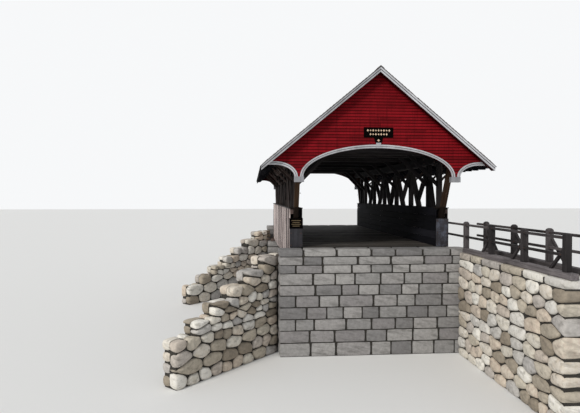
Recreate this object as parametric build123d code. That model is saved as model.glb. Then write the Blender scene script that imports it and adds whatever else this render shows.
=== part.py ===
from build123d import *
import math
import os

# A wooden covered road bridge on two stone abutments. Millimetres. X runs across the road, Y along it,
# Z up. The shapes are drawn with the top of the floor at Z = 0 and mid-span at Y = 0, and the finished
# bridge is then lifted onto its base and centred over it.

# Overall sizes
body_length = 13020.0
portal_overhang = 1110.0
roof_overhang = 290.0
floor_height = 3600.0

# Layers of one side, from the road outwards
road_half_width = 2355.0
board = 25.0
chord_ply = 115.0
post_thickness = 160.0

# Trusses
end_panel = 1340.0
panels_each_side = 2
post_width = 200.0
end_upright_setback = 306.0
top_chord_under = 2920.0
top_chord_depth = 280.0
bottom_chord_under = -700.0
bottom_chord_depth = 300.0
main_brace_width = 200.0
main_brace_head = 450.0
main_brace_foot = 550.0
end_brace_width = 150.0
end_brace_head = 850.0
end_brace_foot = 800.0
counter_width = 100.0
counter_head = 120.0
counter_pitch = 47.7
end_post_level_width = 210.0
end_post_pass_height = 1360.0
end_post_pass_reach = 40.0
end_post_head_gap = 7.0

# Floor
deck_thickness = 150.0
floor_beam_width = 150.0
floor_beam_offset = 430.0
end_beam_place = 120.0
bed_timber_depth = 120.0
bed_timber_width = 250.0
bed_timber_reach = 205.0
bed_timber_setback = 410.0

# Sides and end boxes
side_height = 1335.0
cap_thickness = 25.0
cap_lip = 15.0
girt_top_gap = 35.0
girt_depth = 150.0
box_front = 30.0
box_front_gap = 15.0
lid_gap = 3.0
lid_back_gap = 15.0
guard_height = 970.0
guard_thickness = 15.0

# Crosswise timbers
lateral_size = 100.0
tie_depth = 180.0
tie_width = 150.0
portal_tie_setback = 120.0
knee_reach = 1020.0
knee_size = 115.0
plate_depth = 100.0

# Roof
roof_pitch = 39.6
eave_overhang = 1020.0
roof_thickness = 60.0
rafter_depth = 150.0
rafter_seat = 81.0
rafter_width = 75.0
rafters_per_panel = 4
rafter_tail = 50.0
ridge_board_width = 40.0
ridge_board_depth = 220.0
strut_drop = 1083.0
strut_reach = 590.0
strut_size = 70.0

# Portals
gable_thickness = 100.0
arch_side_margin = 85.0
arch_rise = 925.0
arch_crown_lift = 110.0
pendant_width = 290.0
side_arch_margin = 450.0
side_arch_rise = 375.0
gable_eave_margin = 215.0
trim_width = 110.0
trim_thickness = 30.0
keystone_width = 156.0
keystone_height = 60.0
keystone_proud = 15.0
capital_width = 310.0
capital_height = 175.0
capital_depth = 180.0
capital_proud = 50.0
capital_inset = 20.0
rake_depth = 120.0
rake_drop = 20.0
rake_thickness = 25.0
rake_eave_margin = 26.0
crown_depth = 52.0
crown_thickness = 20.0
soffit_thickness = 20.0
soffit_recess = 12.0
saw_kerf = 0.5

# Boards on the near portal and box
name_board_width = 968.0
name_board_height = 330.0
drop_board_top_width = 300.0
drop_board_foot_width = 220.0
drop_board_height = 170.0
sign_thickness = 25.0
notice_width = 465.0
notice_height = 360.0
notice_sill = 650.0
notice_thickness = 20.0

# Masonry
abutment_margin = 405.0
bearing_length = 1300.0
back_wall_thickness = 630.0
wing_thickness = 600.0
wing_flare = 47.7
wing_course = 400.0
far_wing_length = 5900.0
far_wing_setback = 250.0
far_wing_fall = 2400.0
near_wing_length = 4400.0
near_wing_setback = 620.0
near_wing_fall = 2000.0
wing_top = -260.0

# Rail beside the approach
approach_wall_lap = 300.0
approach_wall_width = 1150.0
approach_wall_end_gap = 290.0
rail_line_inset = 250.0
rail_line_spacing = 700.0
rail_first_post = 670.0
rail_bay = 1780.0
rail_bays = 3
rail_stub = 500.0
rail_sill_height = 150.0
rail_sill_width = 200.0
rail_post_size = 150.0
rail_post_height = 900.0
rail_post_point = 40.0
rail_size = 70.0
rail_heights = (790.0, 390.0)
rail_brace_size = 70.0
rail_brace_rise = 585.0
rail_brace_run = 580.0

# Places across the road, worked out from the sizes
inner_ply_x = road_half_width + board
post_x = inner_ply_x + chord_ply
outer_ply_x = post_x + post_thickness
outer_board_x = outer_ply_x + chord_ply
side_outer_x = outer_board_x + board
roof_half_width = side_outer_x + eave_overhang
rake_half_width = roof_half_width - rake_eave_margin
gable_half_width = roof_half_width - gable_eave_margin
arch_half_width = road_half_width + arch_side_margin
side_arch_run = roof_half_width - side_arch_margin - arch_half_width - pendant_width
abutment_half_width = side_outer_x + abutment_margin
bed_timber_half_length = side_outer_x + bed_timber_reach
approach_wall_inner = abutment_half_width - approach_wall_lap

# Places along the road
box_face_y = body_length / 2
side_end_y = box_face_y - box_front
panel_length = (box_face_y - end_panel) / (panels_each_side + 0.5)
post_places = [(i + 0.5) * panel_length for i in range(panels_each_side + 1)]
end_upright_y = box_face_y - end_upright_setback
box_length = end_upright_setback - post_width / 2
gable_face_y = box_face_y + portal_overhang
gable_back_y = gable_face_y - gable_thickness
roof_end_y = gable_face_y + roof_overhang
rafter_spacing = panel_length / rafters_per_panel
rafter_pairs_each_side = int((gable_back_y - rafter_width) / rafter_spacing)
river_face_y = box_face_y - bearing_length
abutment_back_y = side_end_y + back_wall_thickness
approach_end_y = -(
    box_face_y + rail_first_post + rail_bays * rail_bay + approach_wall_end_gap
)

# Heights
bottom_chord_top = bottom_chord_under + bottom_chord_depth
seat_height = bottom_chord_under - bed_timber_depth
top_chord_top = top_chord_under + top_chord_depth
tie_top = top_chord_top + tie_depth
plate_top = tie_top + plate_depth
arch_crown = top_chord_top + arch_crown_lift
arch_spring = arch_crown - arch_rise
drop_board_sill = arch_crown + trim_width + keystone_height
name_board_sill = drop_board_sill + drop_board_height

# Slopes. The end posts lean so that their heads stand behind the gable wall. The roof's height
# follows from the seat of the rafters on the wall plates.
end_post_half = end_post_level_width / 2
lean_run = portal_overhang - gable_thickness - end_post_head_gap - end_post_half - end_post_pass_reach
lean = lean_run / (top_chord_top - end_post_pass_height)
front_run = box_front + end_post_pass_reach + end_post_half
front_height = end_post_pass_height - front_run / lean - box_front_gap
counter_slope = math.tan(math.radians(counter_pitch))
roof_slope = math.tan(math.radians(roof_pitch))
roof_build = (roof_thickness + rafter_depth) / math.cos(math.radians(roof_pitch))
ridge_height = plate_top + roof_build + (outer_ply_x - rafter_seat) * roof_slope


def plumb(thickness):
    """The plumb depth of a sloping roof layer of this thickness."""
    return thickness / math.cos(math.radians(roof_pitch))


def roof_top(x):
    return ridge_height - abs(x) * roof_slope


def roof_under(x):
    return roof_top(x) - plumb(roof_thickness)


def rafter_under(x):
    return roof_under(x) - plumb(rafter_depth)


def soffit_under(x):
    return roof_top(x) - rake_drop - plumb(rake_depth - soffit_recess)


def block(x, y, z):
    """A rectangular timber or wall between two values on each axis."""
    size = [high - low for low, high in (x, y, z)]
    middle = [(high + low) / 2 for low, high in (x, y, z)]
    return Pos(*middle) * Box(*size)


def across(points, x0, x1):
    """A (y, z) outline carried across the road from x0 to x1."""
    face = make_face(Polyline([(x0, y, z) for y, z in points], close=True))
    return extrude(face, amount=x1 - x0, dir=(1, 0, 0))


def along(points, y0, y1):
    """An (x, z) outline carried along the road from y0 to y1."""
    face = make_face(Polyline([(x, y0, z) for x, z in points], close=True))
    return extrude(face, amount=y1 - y0, dir=(0, 1, 0))


def other_side(pieces):
    return [mirror(piece, about=Plane.YZ) for piece in pieces]


def other_end(pieces):
    return [mirror(piece, about=Plane.XZ) for piece in pieces]


def both_sides(pieces):
    return pieces + other_side(pieces)


def both_ends(pieces):
    return pieces + other_end(pieces)


# Trusses, drawn for the right-hand side


def chord(under, depth, end_y):
    """Two timbers, one on each face of the posts."""
    z = (under, under + depth)
    return [
        block((x, x + chord_ply), (-end_y, end_y), z) for x in (inner_ply_x, outer_ply_x)
    ]


def truss_posts():
    """The upright posts of the panels, and the one near each end that carries the leaning post."""
    return both_ends(
        [
            block(
                (post_x, outer_ply_x),
                (y - post_width / 2, y + post_width / 2),
                (bottom_chord_under, top_chord_top),
            )
            for y in post_places + [end_upright_y]
        ]
    )


def brace(head_y, head_z, foot_y, foot_z, width):
    """A brace in the plane of the posts, cut plumb against a post at each end."""
    run = foot_y - head_y
    half = width / 2 * math.hypot(run, head_z - foot_z) / abs(run)
    outline = [
        (foot_y, foot_z - half),
        (foot_y, foot_z + half),
        (head_y, head_z + half),
        (head_y, head_z - half),
    ]
    return across(outline, post_x, outer_ply_x)


def main_braces():
    """A brace down to the outer post in each panel, two crossed and halved in the middle one."""
    head_z = top_chord_top - main_brace_head
    foot_z = bottom_chord_under + main_brace_foot
    half = post_width / 2
    braces = [
        brace(inner + half, head_z, outer - half, foot_z, main_brace_width)
        for inner, outer in zip(post_places, post_places[1:])
    ]
    braces.append(
        brace(
            post_places[-1] + half,
            top_chord_top - end_brace_head,
            end_upright_y - half,
            bottom_chord_under + end_brace_foot,
            end_brace_width,
        )
    )
    middle = post_places[0] - half
    cross = brace(-middle, head_z, middle, foot_z, main_brace_width) + brace(
        middle, head_z, -middle, foot_z, main_brace_width
    )
    return both_ends(braces) + [cross]


def counter_braces():
    """In the outer panels, a lighter brace from the outer post down onto the main brace."""
    run = panel_length - post_width
    main_head = top_chord_top - main_brace_head
    main_foot = bottom_chord_under + main_brace_foot
    main_slope = (main_head - main_foot) / run
    main_top = main_head + main_brace_width / 2 * math.hypot(1, main_slope)
    half = counter_width / 2 * math.hypot(1, counter_slope)
    head_z = top_chord_under - counter_head
    counters = []
    for inner, outer in zip(post_places, post_places[1:]):
        outline = [
            (outer - post_width / 2, head_z - half),
            (outer - post_width / 2, head_z + half),
        ]
        for edge in (half, -half):
            start_z = head_z + edge - counter_slope * run
            reach = (main_top - start_z) / (main_slope + counter_slope)
            outline.append((inner + post_width / 2 + reach, main_top - main_slope * reach))
        counters.append(across(outline, post_x, outer_ply_x))
    return both_ends(counters)


def end_post_y(z):
    """The middle of the leaning end post at a height."""
    return box_face_y + end_post_pass_reach + (z - end_post_pass_height) * lean


def end_posts():
    """The posts that lean out from the end uprights to carry the portal."""
    seat_y = end_upright_y + post_width / 2
    seat_z = end_post_pass_height + (seat_y - end_post_y(end_post_pass_height)) / lean
    outline = [
        (seat_y, seat_z - end_post_half / lean),
        (end_post_y(top_chord_top) + end_post_half, top_chord_top),
        (end_post_y(top_chord_top) - end_post_half, top_chord_top),
        (seat_y, seat_z + end_post_half / lean),
    ]
    return both_ends([across(outline, post_x, outer_ply_x)])


# Floor


def floor_beams():
    """Beams across both bottom chords, clear of the feet of the braces."""
    places = [box_face_y - end_beam_place]
    for y in post_places:
        places += [y - floor_beam_offset, y + floor_beam_offset]
    beams = [
        block(
            (-outer_board_x, outer_board_x),
            (y - floor_beam_width / 2, y + floor_beam_width / 2),
            (bottom_chord_top, -deck_thickness),
        )
        for y in places
    ]
    return both_ends(beams)


def floor_deck():
    return [
        block((-inner_ply_x, inner_ply_x), (-side_end_y, side_end_y), (-deck_thickness, 0))
    ]


def bed_timbers():
    """Timbers laid across the seats to carry the chords."""
    places = (
        river_face_y + bed_timber_width / 2,
        box_face_y - bed_timber_setback,
    )
    timbers = [
        block(
            (-bed_timber_half_length, bed_timber_half_length),
            (y - bed_timber_width / 2, y + bed_timber_width / 2),
            (seat_height, bottom_chord_under),
        )
        for y in places
    ]
    return both_ends(timbers)


# Sides and end boxes, drawn for the right-hand side


def outer_boarding():
    """The weather boards as one skin with its cap."""
    skin = block(
        (outer_board_x, side_outer_x),
        (-side_end_y, side_end_y),
        (bottom_chord_under, side_height),
    )
    cap = block(
        (outer_board_x, side_outer_x + cap_lip),
        (box_length - box_face_y, box_face_y - box_length),
        (side_height, side_height + cap_thickness),
    )
    return [skin + cap]


def inner_boarding():
    """The road boards as one skin with its cap."""
    skin = block((road_half_width, inner_ply_x), (-side_end_y, side_end_y), (0, side_height))
    cap = block(
        (road_half_width - cap_lip, inner_ply_x),
        (box_length - box_face_y, box_face_y - box_length),
        (side_height, side_height + cap_thickness),
    )
    return [skin + cap]


def side_girt():
    """The rail behind the top of the weather boards."""
    top = side_height - girt_top_gap
    return [
        block(
            (outer_ply_x, outer_board_x), (-side_end_y, side_end_y), (top - girt_depth, top)
        )
    ]


def end_box():
    """The low front of one end of a truss, and the lid with its notch for the leaning post."""
    front = block(
        (road_half_width, side_outer_x), (side_end_y, box_face_y), (0, front_height)
    )
    lid = block(
        (road_half_width - cap_lip, side_outer_x + cap_lip),
        (box_face_y - box_length, box_face_y + cap_lip),
        (side_height, side_height + cap_thickness),
    )
    notch = block(
        (post_x - lid_gap, outer_ply_x + lid_gap),
        (end_post_y(side_height) - end_post_half - lid_back_gap, box_face_y + 2 * cap_lip),
        (side_height - cap_thickness, side_height + 2 * cap_thickness),
    )
    return [front, lid - notch]


def guard_panel():
    return [
        block(
            (road_half_width, side_outer_x),
            (box_face_y, box_face_y + guard_thickness),
            (0, guard_height),
        )
    ]


# Crosswise timbers


def tie_beams():
    """Beams across the top chords, with their ends cut under the rafters."""
    places = post_places + [end_upright_y, gable_back_y - portal_tie_setback]
    cut_x = (rafter_under(0) - tie_top) / roof_slope
    half = [
        (outer_board_x, top_chord_top),
        (outer_board_x, rafter_under(outer_board_x)),
        (cut_x, tie_top),
    ]
    outline = half + [(-x, z) for x, z in reversed(half)]
    return both_ends([along(outline, y - tie_width / 2, y + tie_width / 2) for y in places])


def knee_braces():
    """Short braces from the posts up to the tie beams."""
    half = knee_size / math.sqrt(2)
    foot_z = top_chord_top - knee_reach
    head_x = post_x - knee_reach
    outline = [
        (post_x, foot_z - half),
        (post_x, foot_z + half),
        (head_x + half, top_chord_top),
        (head_x - half, top_chord_top),
    ]
    knees = [
        along(outline, y - knee_size / 2, y + knee_size / 2)
        for y in post_places + [end_upright_y]
    ]
    return both_sides(both_ends(knees))


def lateral_braces():
    """A cross of two halved timbers between each pair of tie beams over the trusses."""
    depth = (tie_top - lateral_size, tie_top)
    reach_x = post_x
    half_bay = (panel_length - tie_width) / 2
    crosses = []
    for i in range(-panels_each_side, panels_each_side + 1):
        middle = i * panel_length
        bay = block((-reach_x, reach_x), (middle - half_bay, middle + half_bay), depth)
        bars = []
        for side in (1, -1):
            turn = side * math.degrees(math.atan2(half_bay, reach_x))
            bar = block((-2 * reach_x, 2 * reach_x), (-lateral_size / 2, lateral_size / 2), depth)
            bars.append(Pos(0, middle, 0) * Rot(0, 0, turn) * bar)
        crosses.append((bars[0] + bars[1]) & bay)
    return crosses


def wall_plates():
    return both_sides(
        [block((post_x, outer_ply_x), (-gable_back_y, gable_back_y), (tie_top, plate_top))]
    )


# Roof


def rafters():
    """Pairs of rafters, notched over the wall plates, with tails cut level with the eave."""
    ridge_x = ridge_board_width / 2
    tail_x = roof_half_width - rafter_tail
    eave_z = roof_under(roof_half_width)
    seat_x = (rafter_under(0) - plate_top) / roof_slope
    outline = [
        (ridge_x, roof_under(ridge_x)),
        (tail_x, roof_under(tail_x)),
        (tail_x, eave_z),
        ((rafter_under(0) - eave_z) / roof_slope, eave_z),
        (outer_ply_x, rafter_under(outer_ply_x)),
        (outer_ply_x, plate_top),
        (seat_x, plate_top),
        (ridge_x, rafter_under(ridge_x)),
    ]
    pairs = []
    for i in range(-rafter_pairs_each_side, rafter_pairs_each_side + 1):
        y = i * rafter_spacing
        pairs.append(along(outline, y - rafter_width / 2, y + rafter_width / 2))
    return both_sides(pairs)


def ridge_board():
    top = roof_under(ridge_board_width / 2)
    return [
        block(
            (-ridge_board_width / 2, ridge_board_width / 2),
            (-gable_back_y, gable_back_y),
            (top - ridge_board_depth, top),
        )
    ]


def roof_slab():
    """One slope of boards and shingles."""
    end_y = roof_end_y - rake_thickness - crown_thickness
    outline = [
        (0, roof_top(0)),
        (roof_half_width, roof_top(roof_half_width)),
        (roof_half_width, roof_under(roof_half_width)),
        (0, roof_under(0)),
    ]
    return [along(outline, -end_y, end_y)]


def eave_struts():
    """Struts from the posts out to the rafters, under the eaves."""
    head_x = outer_ply_x + strut_reach
    foot_z = rafter_under(outer_ply_x) - strut_drop
    rise = rafter_under(head_x) - foot_z
    half = strut_size / 2 * math.hypot(strut_reach, rise) / strut_reach
    over_x = head_x + 2 * strut_size
    over_z = foot_z + rise / strut_reach * (over_x - outer_ply_x)
    strip = [
        (outer_ply_x, foot_z - half),
        (over_x, over_z - half),
        (over_x, over_z + half),
        (outer_ply_x, foot_z + half),
    ]
    above = [
        (0, rafter_under(0)),
        (2 * over_x, rafter_under(2 * over_x)),
        (2 * over_x, ridge_height),
        (0, ridge_height),
    ]
    struts = []
    for y in post_places + [end_upright_y]:
        sides = (y - strut_size / 2, y + strut_size / 2)
        struts.append(along(strip, *sides) - along(above, *sides))
    return both_ends(struts)


# Portals, drawn for the far end


def upright(sketch, y0, y1):
    """A sketch in x and z carried along the road from y0 to y1."""
    return Pos(0, y0, 0) * extrude(Plane.XZ * sketch, amount=y1 - y0, dir=(0, 1, 0))


def arch(grow):
    """The main arch opening, grown by the width of its trim or not at all."""
    return Pos(0, arch_spring) * Ellipse(arch_half_width + grow, arch_rise + grow)


def side_arch(grow, side):
    """A quarter arch beside the main one, which runs on level to the eave."""
    centre = arch_half_width + pendant_width + side_arch_run
    oval = Ellipse(side_arch_run + grow, side_arch_rise + grow)
    level = Rectangle(roof_half_width, 2 * (side_arch_rise + grow))
    run_on = centre + roof_half_width / 2
    return Pos(side * centre, arch_spring) * oval + Pos(side * run_on, arch_spring) * level


def gable_sketch(apex):
    """The wall under a roof line, cut by the main arch and by a quarter arch at each eave."""
    foot_x = (apex - arch_spring) / roof_slope
    triangle = make_face(
        Polyline([(-foot_x, arch_spring), (0, apex), (foot_x, arch_spring)], close=True)
    )
    upper = Pos(0, ridge_height / 2) * Rectangle(2 * gable_half_width, 2 * ridge_height)
    return (triangle & upper) - arch(0) - side_arch(0, 1) - side_arch(0, -1)


def gable_wall():
    return [upright(gable_sketch(roof_under(0)), gable_back_y, gable_face_y)]


def arch_trim():
    """Flat trim round the three arches, with a small key block over the middle one."""
    wall = gable_sketch(soffit_under(0))
    y = (gable_face_y, gable_face_y + trim_thickness)
    crown = arch_crown + trim_width
    key = block(
        (-keystone_width / 2, keystone_width / 2),
        (gable_face_y, gable_face_y + trim_thickness + keystone_proud),
        (crown - trim_width / 2, crown + keystone_height),
    )
    trims = [upright((arch(trim_width) - arch(0)) & wall, *y) + key]
    for side in (1, -1):
        band = (side_arch(trim_width, side) - side_arch(0, side)) & wall
        trims.append(upright(band, *y))
    return trims


def portal_capitals():
    """Blocks under the feet of the arches."""
    x = arch_half_width - capital_inset
    y = gable_face_y + capital_proud
    return both_sides(
        [
            block(
                (x, x + capital_width),
                (y - capital_depth, y),
                (arch_spring - capital_height, arch_spring),
            )
        ]
    )


def rake_boards():
    """The sloping boards at the roof's edge, each with its crown strip, parted at the ridge."""

    def strip(depth, y0, y1):
        x0 = saw_kerf / 2
        x1 = rake_half_width
        outline = [
            (x0, roof_top(x0) - rake_drop),
            (x1, roof_top(x1) - rake_drop),
            (x1, roof_top(x1) - rake_drop - plumb(depth)),
            (x0, roof_top(x0) - rake_drop - plumb(depth)),
        ]
        return along(outline, y0, y1)

    back_y = roof_end_y - crown_thickness - rake_thickness
    face_y = roof_end_y - crown_thickness
    rake = strip(rake_depth, back_y, face_y) + strip(crown_depth, face_y, roof_end_y)
    return both_sides([rake])


def rake_soffits():
    """Boards that close the underside of the roof between the gable wall and the rake boards."""
    x0 = saw_kerf / 2
    x1 = rake_half_width
    outline = [
        (x0, soffit_under(x0) + plumb(soffit_thickness)),
        (x1, soffit_under(x1) + plumb(soffit_thickness)),
        (x1, soffit_under(x1)),
        (x0, soffit_under(x0)),
    ]
    back_y = roof_end_y - crown_thickness - rake_thickness
    return both_sides([along(outline, gable_face_y, back_y)])


# Boards without text, on the near portal and its left box


def name_board():
    """A plain board over the arch, with a tapered board below it."""
    z0 = name_board_sill
    drop_z = drop_board_sill
    outline = [
        (-name_board_width / 2, z0),
        (-drop_board_top_width / 2, z0),
        (-drop_board_foot_width / 2, drop_z),
        (drop_board_foot_width / 2, drop_z),
        (drop_board_top_width / 2, z0),
        (name_board_width / 2, z0),
        (name_board_width / 2, z0 + name_board_height),
        (-name_board_width / 2, z0 + name_board_height),
    ]
    return [along(outline, -gable_face_y - sign_thickness, -gable_face_y)]


def notice_board():
    middle = -(road_half_width + side_outer_x) / 2
    face = -box_face_y - guard_thickness
    return [
        block(
            (middle - notice_width / 2, middle + notice_width / 2),
            (face - notice_thickness, face),
            (notice_sill, notice_sill + notice_height),
        )
    ]


# Masonry


def abutment():
    """The far abutment: a stem with the bridge's seat, and a wall behind it up to the floor."""
    outline = [
        (river_face_y, -floor_height),
        (river_face_y, seat_height),
        (side_end_y, seat_height),
        (side_end_y, 0),
        (abutment_back_y, 0),
        (abutment_back_y, -floor_height),
    ]
    return [across(outline, -abutment_half_width, abutment_half_width)]


def wing_wall(start_y, length, fall):
    """A wall from the left side of an abutment that flares out and steps down in courses."""
    flare = math.radians(wing_flare)
    run = Vector(-math.cos(flare), -math.sin(flare), 0)
    back = Vector(-math.sin(flare), math.cos(flare), 0)
    start = Vector(-abutment_half_width, start_y, -floor_height)
    plan = [
        start,
        start + run * length,
        start + run * length + back * wing_thickness,
        start + Vector(0, wing_thickness / math.cos(flare), 0),
    ]
    wall = extrude(
        make_face(Polyline(plan, close=True)), amount=floor_height, dir=(0, 0, 1)
    )
    steps = round(fall / wing_course)
    tread = length / (steps + 1)
    top = floor_height + wing_top
    profile = [(-length, 0), (-length, top)]
    for i in range(steps):
        profile.append(((i + 1) * tread, top - i * wing_course))
        profile.append(((i + 1) * tread, top - (i + 1) * wing_course))
    profile += [(2 * length, top - steps * wing_course), (2 * length, 0)]
    side = Plane(origin=start, x_dir=run, z_dir=run.cross(Vector(0, 0, 1)))
    outline = side * make_face(Polyline(profile, close=True))
    return [wall & extrude(outline, amount=length, both=True)]


def far_wing():
    return wing_wall(river_face_y + far_wing_setback, far_wing_length, far_wing_fall)


def near_wing():
    start_y = -abutment_back_y + near_wing_setback
    return wing_wall(start_y, near_wing_length, near_wing_fall)


def approach_wall():
    """The wall along the right of the approach, which carries the rail."""
    return [
        block(
            (approach_wall_inner, approach_wall_inner + approach_wall_width),
            (approach_end_y, -abutment_back_y),
            (-floor_height, -rail_sill_height),
        )
    ]


# Rail beside the approach, in two lines

rail_lines = (
    approach_wall_inner + rail_line_inset,
    approach_wall_inner + rail_line_inset + rail_line_spacing,
)
rail_post_places = [
    -box_face_y - rail_first_post - i * rail_bay for i in range(rail_bays + 1)
]
river_post_y = -box_face_y - rail_first_post + rail_bay


def rail_sills():
    half = rail_sill_width / 2
    return [
        block(
            (x - half, x + half),
            (approach_end_y, -abutment_back_y),
            (-rail_sill_height, 0),
        )
        for x in rail_lines
    ]


def rail_posts():
    """Square posts with bevelled tops. The front line has one more, on the abutment's seat."""
    half = rail_post_size / 2
    places = [(x, y, 0) for x in rail_lines for y in rail_post_places]
    places.append((rail_lines[0], river_post_y, seat_height))
    posts = []
    for x, y, foot_z in places:
        post = block((x - half, x + half), (y - half, y + half), (foot_z, rail_post_height))
        top = post.faces().sort_by(Axis.Z)[-1]
        posts.append(chamfer(top.edges(), rail_post_point))
    return posts


def rails():
    """Two rails in each bay between the posts, with short ends past the last post behind."""
    half = rail_post_size / 2
    first = rail_post_places[0] + half
    spans = [(x, y - rail_bay + half, y - half) for x in rail_lines for y in rail_post_places[:-1]]
    spans.append((rail_lines[0], first, river_post_y - half))
    spans.append((rail_lines[1], first, first + rail_stub))
    return [
        block(
            (x - half, x - half + rail_size), (y0, y1), (z - rail_size / 2, z + rail_size / 2)
        )
        for x, y0, y1 in spans
        for z in rail_heights
    ]


def rail_braces():
    """A brace in each bay behind the rails, leaning one way in front and the other behind."""
    half = rail_post_size / 2
    slope = rail_brace_rise / rail_brace_run
    thick = rail_brace_size / 2 * math.hypot(1, slope)
    braces = []
    for line, x in enumerate(rail_lines):
        for y in rail_post_places[:-1]:
            post_y, way = (y - rail_bay + half, 1) if line == 0 else (y - half, -1)
            toe = (rail_brace_rise + thick) / slope
            heel = (rail_brace_rise - thick) / slope
            outline = [
                (post_y, rail_brace_rise - thick),
                (post_y, rail_brace_rise + thick),
                (post_y + way * toe, 0),
                (post_y + way * heel, 0),
            ]
            braces.append(across(outline, x, x + rail_brace_size))
    return braces


bottom_chord = chord(bottom_chord_under, bottom_chord_depth, side_end_y)
top_chord = chord(top_chord_under, top_chord_depth, gable_back_y)
truss_side = {
    "bottom_chord": bottom_chord,
    "top_chord": top_chord,
    "truss_posts": truss_posts(),
    "main_braces": main_braces(),
    "counter_braces": counter_braces(),
    "end_posts": end_posts(),
    "outer_boarding": outer_boarding(),
    "inner_boarding": inner_boarding(),
    "side_girt": side_girt(),
    "end_boxes": both_ends(end_box()),
    "roof_slope": roof_slab(),
    "eave_struts": eave_struts(),
}
portal = {
    "abutment": abutment(),
    "gable_wall": gable_wall(),
    "arch_trim": arch_trim(),
    "rake_boards": rake_boards(),
    "rake_soffits": rake_soffits(),
}
nodes = {
    "far_left_wing_wall": far_wing(),
    "far_right_wing_wall": other_side(far_wing()),
    "near_left_wing_wall": near_wing(),
    "approach_wall": approach_wall(),
    "bed_timbers": bed_timbers(),
    "floor_beams": floor_beams(),
    "floor_deck": floor_deck(),
    "guard_panels": both_ends(both_sides(guard_panel())),
    "tie_beams": tie_beams(),
    "knee_braces": knee_braces(),
    "lateral_braces": lateral_braces(),
    "wall_plates": wall_plates(),
    "rafters": rafters(),
    "ridge_board": ridge_board(),
    "portal_capitals": both_ends(portal_capitals()),
    "name_board": name_board(),
    "notice_board": notice_board(),
    "rail_sills": rail_sills(),
    "rail_posts": rail_posts(),
    "rails": rails(),
    "rail_braces": rail_braces(),
}
for name, pieces in truss_side.items():
    nodes["right_" + name] = pieces
    nodes["left_" + name] = other_side(pieces)
for name, pieces in portal.items():
    nodes["far_" + name] = pieces
    nodes["near_" + name] = other_end(pieces)

# The far roof edge and the end of the approach wall are the two ends of the whole.
middle_y = (roof_end_y + approach_end_y) / 2
os.makedirs("parts", exist_ok=True)
for name, pieces in nodes.items():
    solids = [solid for piece in pieces for solid in piece.solids()]
    whole = Compound(children=solids, label=name)
    export_step(Pos(0, -middle_y, floor_height) * whole, f"parts/{name}.step")
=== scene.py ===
"""A wooden covered road bridge on stone abutments, dressed around its fixed model.

Metres throughout. X runs across the road, Y along it towards the far bank, Z up. Every piece that is made
here takes its place from the frame's own pieces, and its finish from a material on Object coordinates.
"""

import logging
import math
import random
from dataclasses import dataclass
from enum import Enum
from functools import cache, partial
from typing import Callable, Iterable, Iterator, Optional, Sequence

import bmesh
import bpy
from mathutils import Matrix, Vector, noise


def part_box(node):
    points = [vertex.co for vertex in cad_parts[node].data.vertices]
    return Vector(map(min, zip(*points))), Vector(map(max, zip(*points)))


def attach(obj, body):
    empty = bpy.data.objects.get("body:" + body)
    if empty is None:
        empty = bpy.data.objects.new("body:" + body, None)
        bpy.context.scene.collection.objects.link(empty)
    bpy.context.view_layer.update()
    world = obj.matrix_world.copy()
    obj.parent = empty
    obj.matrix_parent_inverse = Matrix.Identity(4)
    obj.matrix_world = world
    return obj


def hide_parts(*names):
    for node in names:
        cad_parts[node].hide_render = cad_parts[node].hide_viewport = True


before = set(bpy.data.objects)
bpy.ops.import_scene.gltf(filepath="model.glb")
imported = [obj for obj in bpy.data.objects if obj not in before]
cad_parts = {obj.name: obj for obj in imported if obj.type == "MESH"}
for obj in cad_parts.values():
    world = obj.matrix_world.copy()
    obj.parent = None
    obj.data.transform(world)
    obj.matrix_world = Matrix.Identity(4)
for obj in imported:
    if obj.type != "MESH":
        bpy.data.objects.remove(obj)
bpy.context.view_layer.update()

LOG = logging.getLogger("bridge")
BODY = "root"
NOISE_SEED = 7
# The face layers that the materials read: each board's tone, and the way of its grain.
SHADE = "shade"
GRAIN = "grain"
ACROSS = (1.0, 0.0, 0.0)
# How far edges are eased, in metres: barely, on sawn boards, and on thick or painted ones.
FINE_EDGE = 0.002
EDGE = 0.003
WORN_EDGE = 0.004
# How far a tone of 1 moves the pattern, so that no two boards show the same streaks.
TONE_SHIFT = (31.0, 57.0, 83.0)
ROOF_PITCH = math.radians(39.6)
# How much of each lapped board of the gables shows.
COURSE = 0.097
# Corners closer than this are one corner.
WELD = 0.0002
# Faces that meet under this angle are one face.
FLAT = 0.02
GABLE_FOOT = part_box("near_gable_wall")[0].z
MID_SPAN = (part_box("near_gable_wall")[0].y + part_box("far_gable_wall")[1].y) / 2

Colour = tuple[float, float, float]
Point = tuple[float, float]
Span = tuple[float, float]
Outline = list[Point]
BoxPair = tuple[Vector, Vector]
Mesh = bmesh.types.BMesh
Socket = bpy.types.NodeSocket


class End(Enum):
    """One end of the bridge, with the sign of Y that points away from it."""

    NEAR = -1
    FAR = 1

    @property
    def word(self) -> str:
        """The word that starts this end's node names."""
        return self.name.lower()

    def face(self, node: str) -> float:
        """Where the face of a node that looks away from the bridge is along the road."""
        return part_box(node)[1 if self is End.FAR else 0].y


class Side(Enum):
    """One side of the road, with its sign of X."""

    LEFT = -1
    RIGHT = 1

    @property
    def word(self) -> str:
        """The word that starts this side's node names."""
        return self.name.lower()

    def outer(self, box: BoxPair) -> float:
        """The X of a box's face that looks away from the road."""
        return box[1 if self is Side.RIGHT else 0].x

    def inner(self, box: BoxPair) -> float:
        """The X of a box's face that looks to the road."""
        return box[0 if self is Side.RIGHT else 1].x


# Materials


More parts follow.
